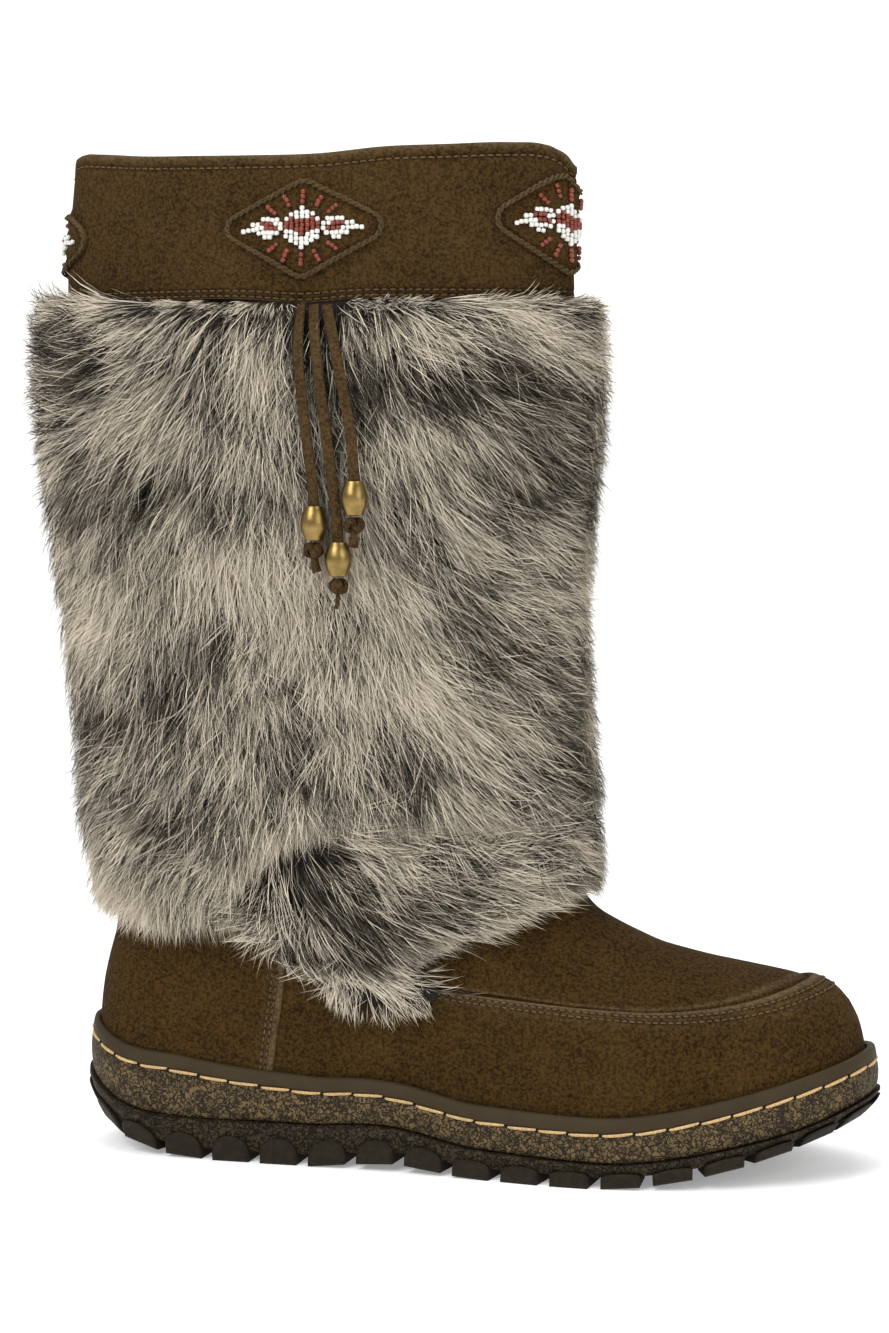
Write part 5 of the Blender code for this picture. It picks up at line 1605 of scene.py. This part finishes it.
def ribbons(name, path, facing, tone, rng):
    """Ribbon mesh of many hairs. The UV map holds each hair's tone and the place along it."""
    count = len(path)
    half = HAIR_WIDTH / 2.0 * rng.uniform(0.65, 1.35, (count, 1, 1)) * np.array([1.0, 0.8])[None, :, None]
    left = path[:, 1:3] - facing[:, None] * half
    right = path[:, 1:3] + facing[:, None] * half
    vertices = np.stack([path[:, 0], left[:, 0], right[:, 0], left[:, 1], right[:, 1], path[:, 3]], axis=1)
    one = np.array([[0, 2, 1], [1, 2, 4], [1, 4, 3], [3, 4, 5]])
    corners = (one[None] + 6 * np.arange(count)[:, None, None]).reshape(-1)
    along = np.array([0.0, HAIR_STEPS[1], HAIR_STEPS[1], HAIR_STEPS[2], HAIR_STEPS[2], 1.0])
    uv = np.stack([np.repeat(tone, 6), np.tile(along, count)], axis=1)[corners]
    mesh = bpy.data.meshes.new(name)
    mesh.vertices.add(6 * count)
    mesh.vertices.foreach_set("co", vertices.astype(np.float32).ravel())
    mesh.loops.add(len(corners))
    mesh.loops.foreach_set("vertex_index", corners.astype(np.int32))
    mesh.polygons.add(4 * count)
    mesh.polygons.foreach_set("loop_start", np.arange(0, len(corners), 3, dtype=np.int32))
    mesh.uv_layers.new(name="hair")
    mesh.uv_layers["hair"].data.foreach_set("uv", uv.astype(np.float32).ravel())
    mesh.materials.append(FUR)
    mesh.update(calc_edges=True)
    mesh.shade_smooth()
    piece = bpy.data.objects.new(name, mesh)
    bpy.context.scene.collection.objects.link(piece)
    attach(piece, "root")
    print(name, count, "hairs")
    return piece


def fur_material():
    """Dark at the root, grey in the middle, cream at the tip. A light hair changes nearer its root. The
    dark root is partly the fur's own colour and partly painted shade deep in the coat.
    """
    group, given, out = group_sockets(
        "pelt",
        [("Root", "Color", (0.0095, 0.0082, 0.0055, 1.0)), ("Middle", "Color", (0.086, 0.075, 0.054, 1.0)),
         ("Tip", "Color", (0.62, 0.545, 0.43, 1.0))],
        [("Color", "Color")],
    )
    uv = group.nodes.new("ShaderNodeUVMap")
    uv.uv_map = "hair"
    parts = group.nodes.new("ShaderNodeSeparateXYZ")
    group.links.new(uv.outputs[0], parts.inputs[0])
    tone, along = parts.outputs[0], parts.outputs[1]
    start = math_node(group, "MULTIPLY_ADD", tone, -0.85, 0.78)
    progress = math_node(group, "SUBTRACT", along, start)
    above_root = ramped(group, progress, -0.15, 0.25)
    grey = mix_colours(group, above_root, given.outputs["Root"], given.outputs["Middle"])
    pale = mix_colours(group, ramped(group, progress, 0.05, 0.55), grey, given.outputs["Tip"])
    group.links.new(pale, out.inputs["Color"])
    material = bpy.data.materials.new("fur")
    material.use_nodes = True
    tree = material.node_tree
    made = tree.nodes.new("ShaderNodeGroup")
    made.node_tree = group
    shader = tree.nodes["Principled BSDF"]
    shader.inputs["Roughness"].default_value = 0.55
    shader.inputs["Specular IOR Level"].default_value = 0.12
    tree.links.new(made.outputs["Color"], shader.inputs["Base Color"])
    return material


def shaft_hem(share):
    """Lower edge of the shaft's fur."""
    return COLLAR_HEIGHT * smooth(share, FUR_HEM["share"], FUR_HEM["height"])


def flap_hem(share):
    """Lower edge of the flap's fur."""
    return COLLAR_HEIGHT * smooth(share, FLAP_HEM["share"], FLAP_HEM["height"])


FUR = fur_material()
# Near-black hide: partly painted shade under the hair.
PELT = finish("pelt_hide", 1.0, colour=(0.020, 0.018, 0.016), scale=300.0, shade=0.5, bump=0.5)
fur_rng = np.random.default_rng(5)


def even_phi(low, high, count, height):
    """Angles spread evenly by the length round the boot at one height."""
    fine = np.linspace(low, high, 400)
    at = upper_point(fine, level_at(share_of(fine), height + 0.0 * fine))
    run = np.concatenate([[0.0], np.cumsum(np.linalg.norm(np.diff(at, axis=0), axis=1))])
    return np.interp(fur_rng.random(count) * run[-1], run, fine)


def make_pelt_hides():
    """The hides that the hairs grow from: thin dark bands just over the suede. Their near-black colour is
    partly painted shade under the hair.
    """
    def rows(phi, low, high, out, count):
        share = share_of(phi)
        return [skin(phi, level_at(share, low + (high - low) * part), out + 0.0 * phi)
                for part in np.linspace(0.0, 1.0, count)]

    phi = np.linspace(0.0, 2.0 * np.pi, 120, endpoint=False)
    low = shaft_hem(share_of(phi)) + 0.004
    high = CUFF_LOW - 0.0006 + 0.0 * phi
    band("shaft_hide", rows(phi, low, high, 0.0016, 22) + rows(phi, high, low, 0.0006, 12), PELT,
         ["fur_shaft"])
    edge = np.arccos(1.0 - 2.0 * 0.335)
    phi = np.linspace(edge, 2.0 * np.pi - edge, 110)
    low = flap_hem(share_of(phi)) + 0.004
    high = shaft_hem(share_of(phi)) - 0.001
    open_band("flap_hide", rows(phi, low, high, 0.0036, 12) + rows(phi, high, low, 0.0026, 8), PELT,
              ["fur_flap"])


make_pelt_hides()
SHAFT_LOCKS = 1400
FLAP_LOCKS = 700
EDGE_LOCKS = 260
FLAP_FRINGE = 0.0030
TASSEL_GAP = (1.56, 1.76)
SHAFT_PIECES = {
    "fur_outer_rear": (0.0, 0.5), "fur_outer_front": (0.5, 1.0),
    "fur_inner_front": (1.0, 1.5), "fur_inner_rear": (1.5, 2.0),
}
for name, (first, last) in SHAFT_PIECES.items():
    phi = even_phi(first * np.pi, last * np.pi, SHAFT_LOCKS, 0.20)
    low = shaft_hem(share_of(phi))
    height = low + (CUFF_LOW - low) * fur_rng.random(SHAFT_LOCKS)
    grow(name, phi, height, shaft_hem, FRINGE, shaft_lean, MARKS, 0.0014, FUR_DEPTH, HAIR_LENGTH, fur_rng)

flap_edge = np.arccos(1.0 - 2.0 * 0.34)
phi = even_phi(flap_edge, 2.0 * np.pi - flap_edge, FLAP_LOCKS, 0.095)
low = flap_hem(share_of(phi))
height = low + (shaft_hem(share_of(phi)) - 0.002 - low) * fur_rng.random(FLAP_LOCKS)
grow("fur_flap_hair", phi, height, flap_hem, FLAP_FRINGE, flap_lean, FLAP_MARKS, 0.0034, 0.0115, 0.022,
     fur_rng, swirl=1.9)

phi = even_phi(0.0, 2.0 * np.pi, EDGE_LOCKS, 0.29)
phi = phi[(phi < TASSEL_GAP[0]) | (phi > TASSEL_GAP[1])]
height = CUFF_LOW - fur_rng.uniform(0.0, 0.004, len(phi))
at_front = ease(0.78, 0.92, share_of(phi))[:, None]
grow("fur_edge_fluff", phi, height, shaft_hem, FRINGE, edge_lean, MARKS, 0.0018, 0.0070 + 0.0045 * at_front,
     0.0062 + 0.007 * at_front, fur_rng, 0.10, swirl=1.4)

# %% [markdown]
# A plain pale floor that curves up into a wall, and soft light from a large window on each side.

# %% Stage and light
def make_stage():
    """The floor: a profile carried along a straight line, four metres to each side."""
    profile = [(-1.2, 0.0), (1.3, 0.0), (1.7, 0.08), (1.95, 0.35), (2.0, 0.8), (2.0, 3.0)]
    width = np.array([-4.0, 4.0])
    rows = np.array([[(w, depth, height) for w in width] for depth, height in profile])
    mesh = bpy.data.meshes.new("floor")
    mesh.from_pydata(rows.reshape(-1, 3).tolist(), [], quads(len(profile), 2).tolist())
    mesh.shade_smooth()
    material = bpy.data.materials.new("floor")
    material.use_nodes = True
    shader = material.node_tree.nodes["Principled BSDF"]
    shader.inputs["Base Color"].default_value = (0.90, 0.90, 0.90, 1.0)
    shader.inputs["Roughness"].default_value = 0.95
    shader.inputs["Emission Color"].default_value = (1.0, 1.0, 1.0, 1.0)
    shader.inputs["Emission Strength"].default_value = 0.25
    mesh.materials.append(material)
    floor = bpy.data.objects.new("floor", mesh)
    bpy.context.scene.collection.objects.link(floor)


def make_light(name, location, target, size, power):
    """A square area light that faces the target."""
    data = bpy.data.lights.new(name, "AREA")
    data.shape = "RECTANGLE"
    data.size, data.size_y = size
    data.energy = power
    light = bpy.data.objects.new(name, data)
    light.location = location
    light.rotation_euler = (Vector(target) - Vector(location)).to_track_quat("-Z", "Y").to_euler()
    bpy.context.scene.collection.objects.link(light)


make_stage()
make_light("key", (-0.7, -1.5, 1.5), (0.07, 0.0, 0.15), (1.2, 1.2), 28.0)
make_light("fill", (1.6, -1.1, 0.9), (0.07, 0.0, 0.15), (1.2, 1.2), 12.0)
make_light("top", (0.1, 0.2, 2.0), (0.07, 0.0, 0.15), (1.6, 1.6), 16.0)
world = bpy.data.worlds.new("studio")
world.use_nodes = True
world.node_tree.nodes["Background"].inputs["Color"].default_value = (1.0, 1.0, 1.0, 1.0)
world.node_tree.nodes["Background"].inputs["Strength"].default_value = 0.55
bpy.context.scene.world = world
bpy.context.scene.view_settings.view_transform = "Standard"

# %% Finish
added = [piece for piece in bpy.context.scene.objects if piece.type == "MESH" and not piece.hide_render]
print("triangles:", sum(sum(len(face.vertices) - 2 for face in piece.data.polygons) for piece in added))
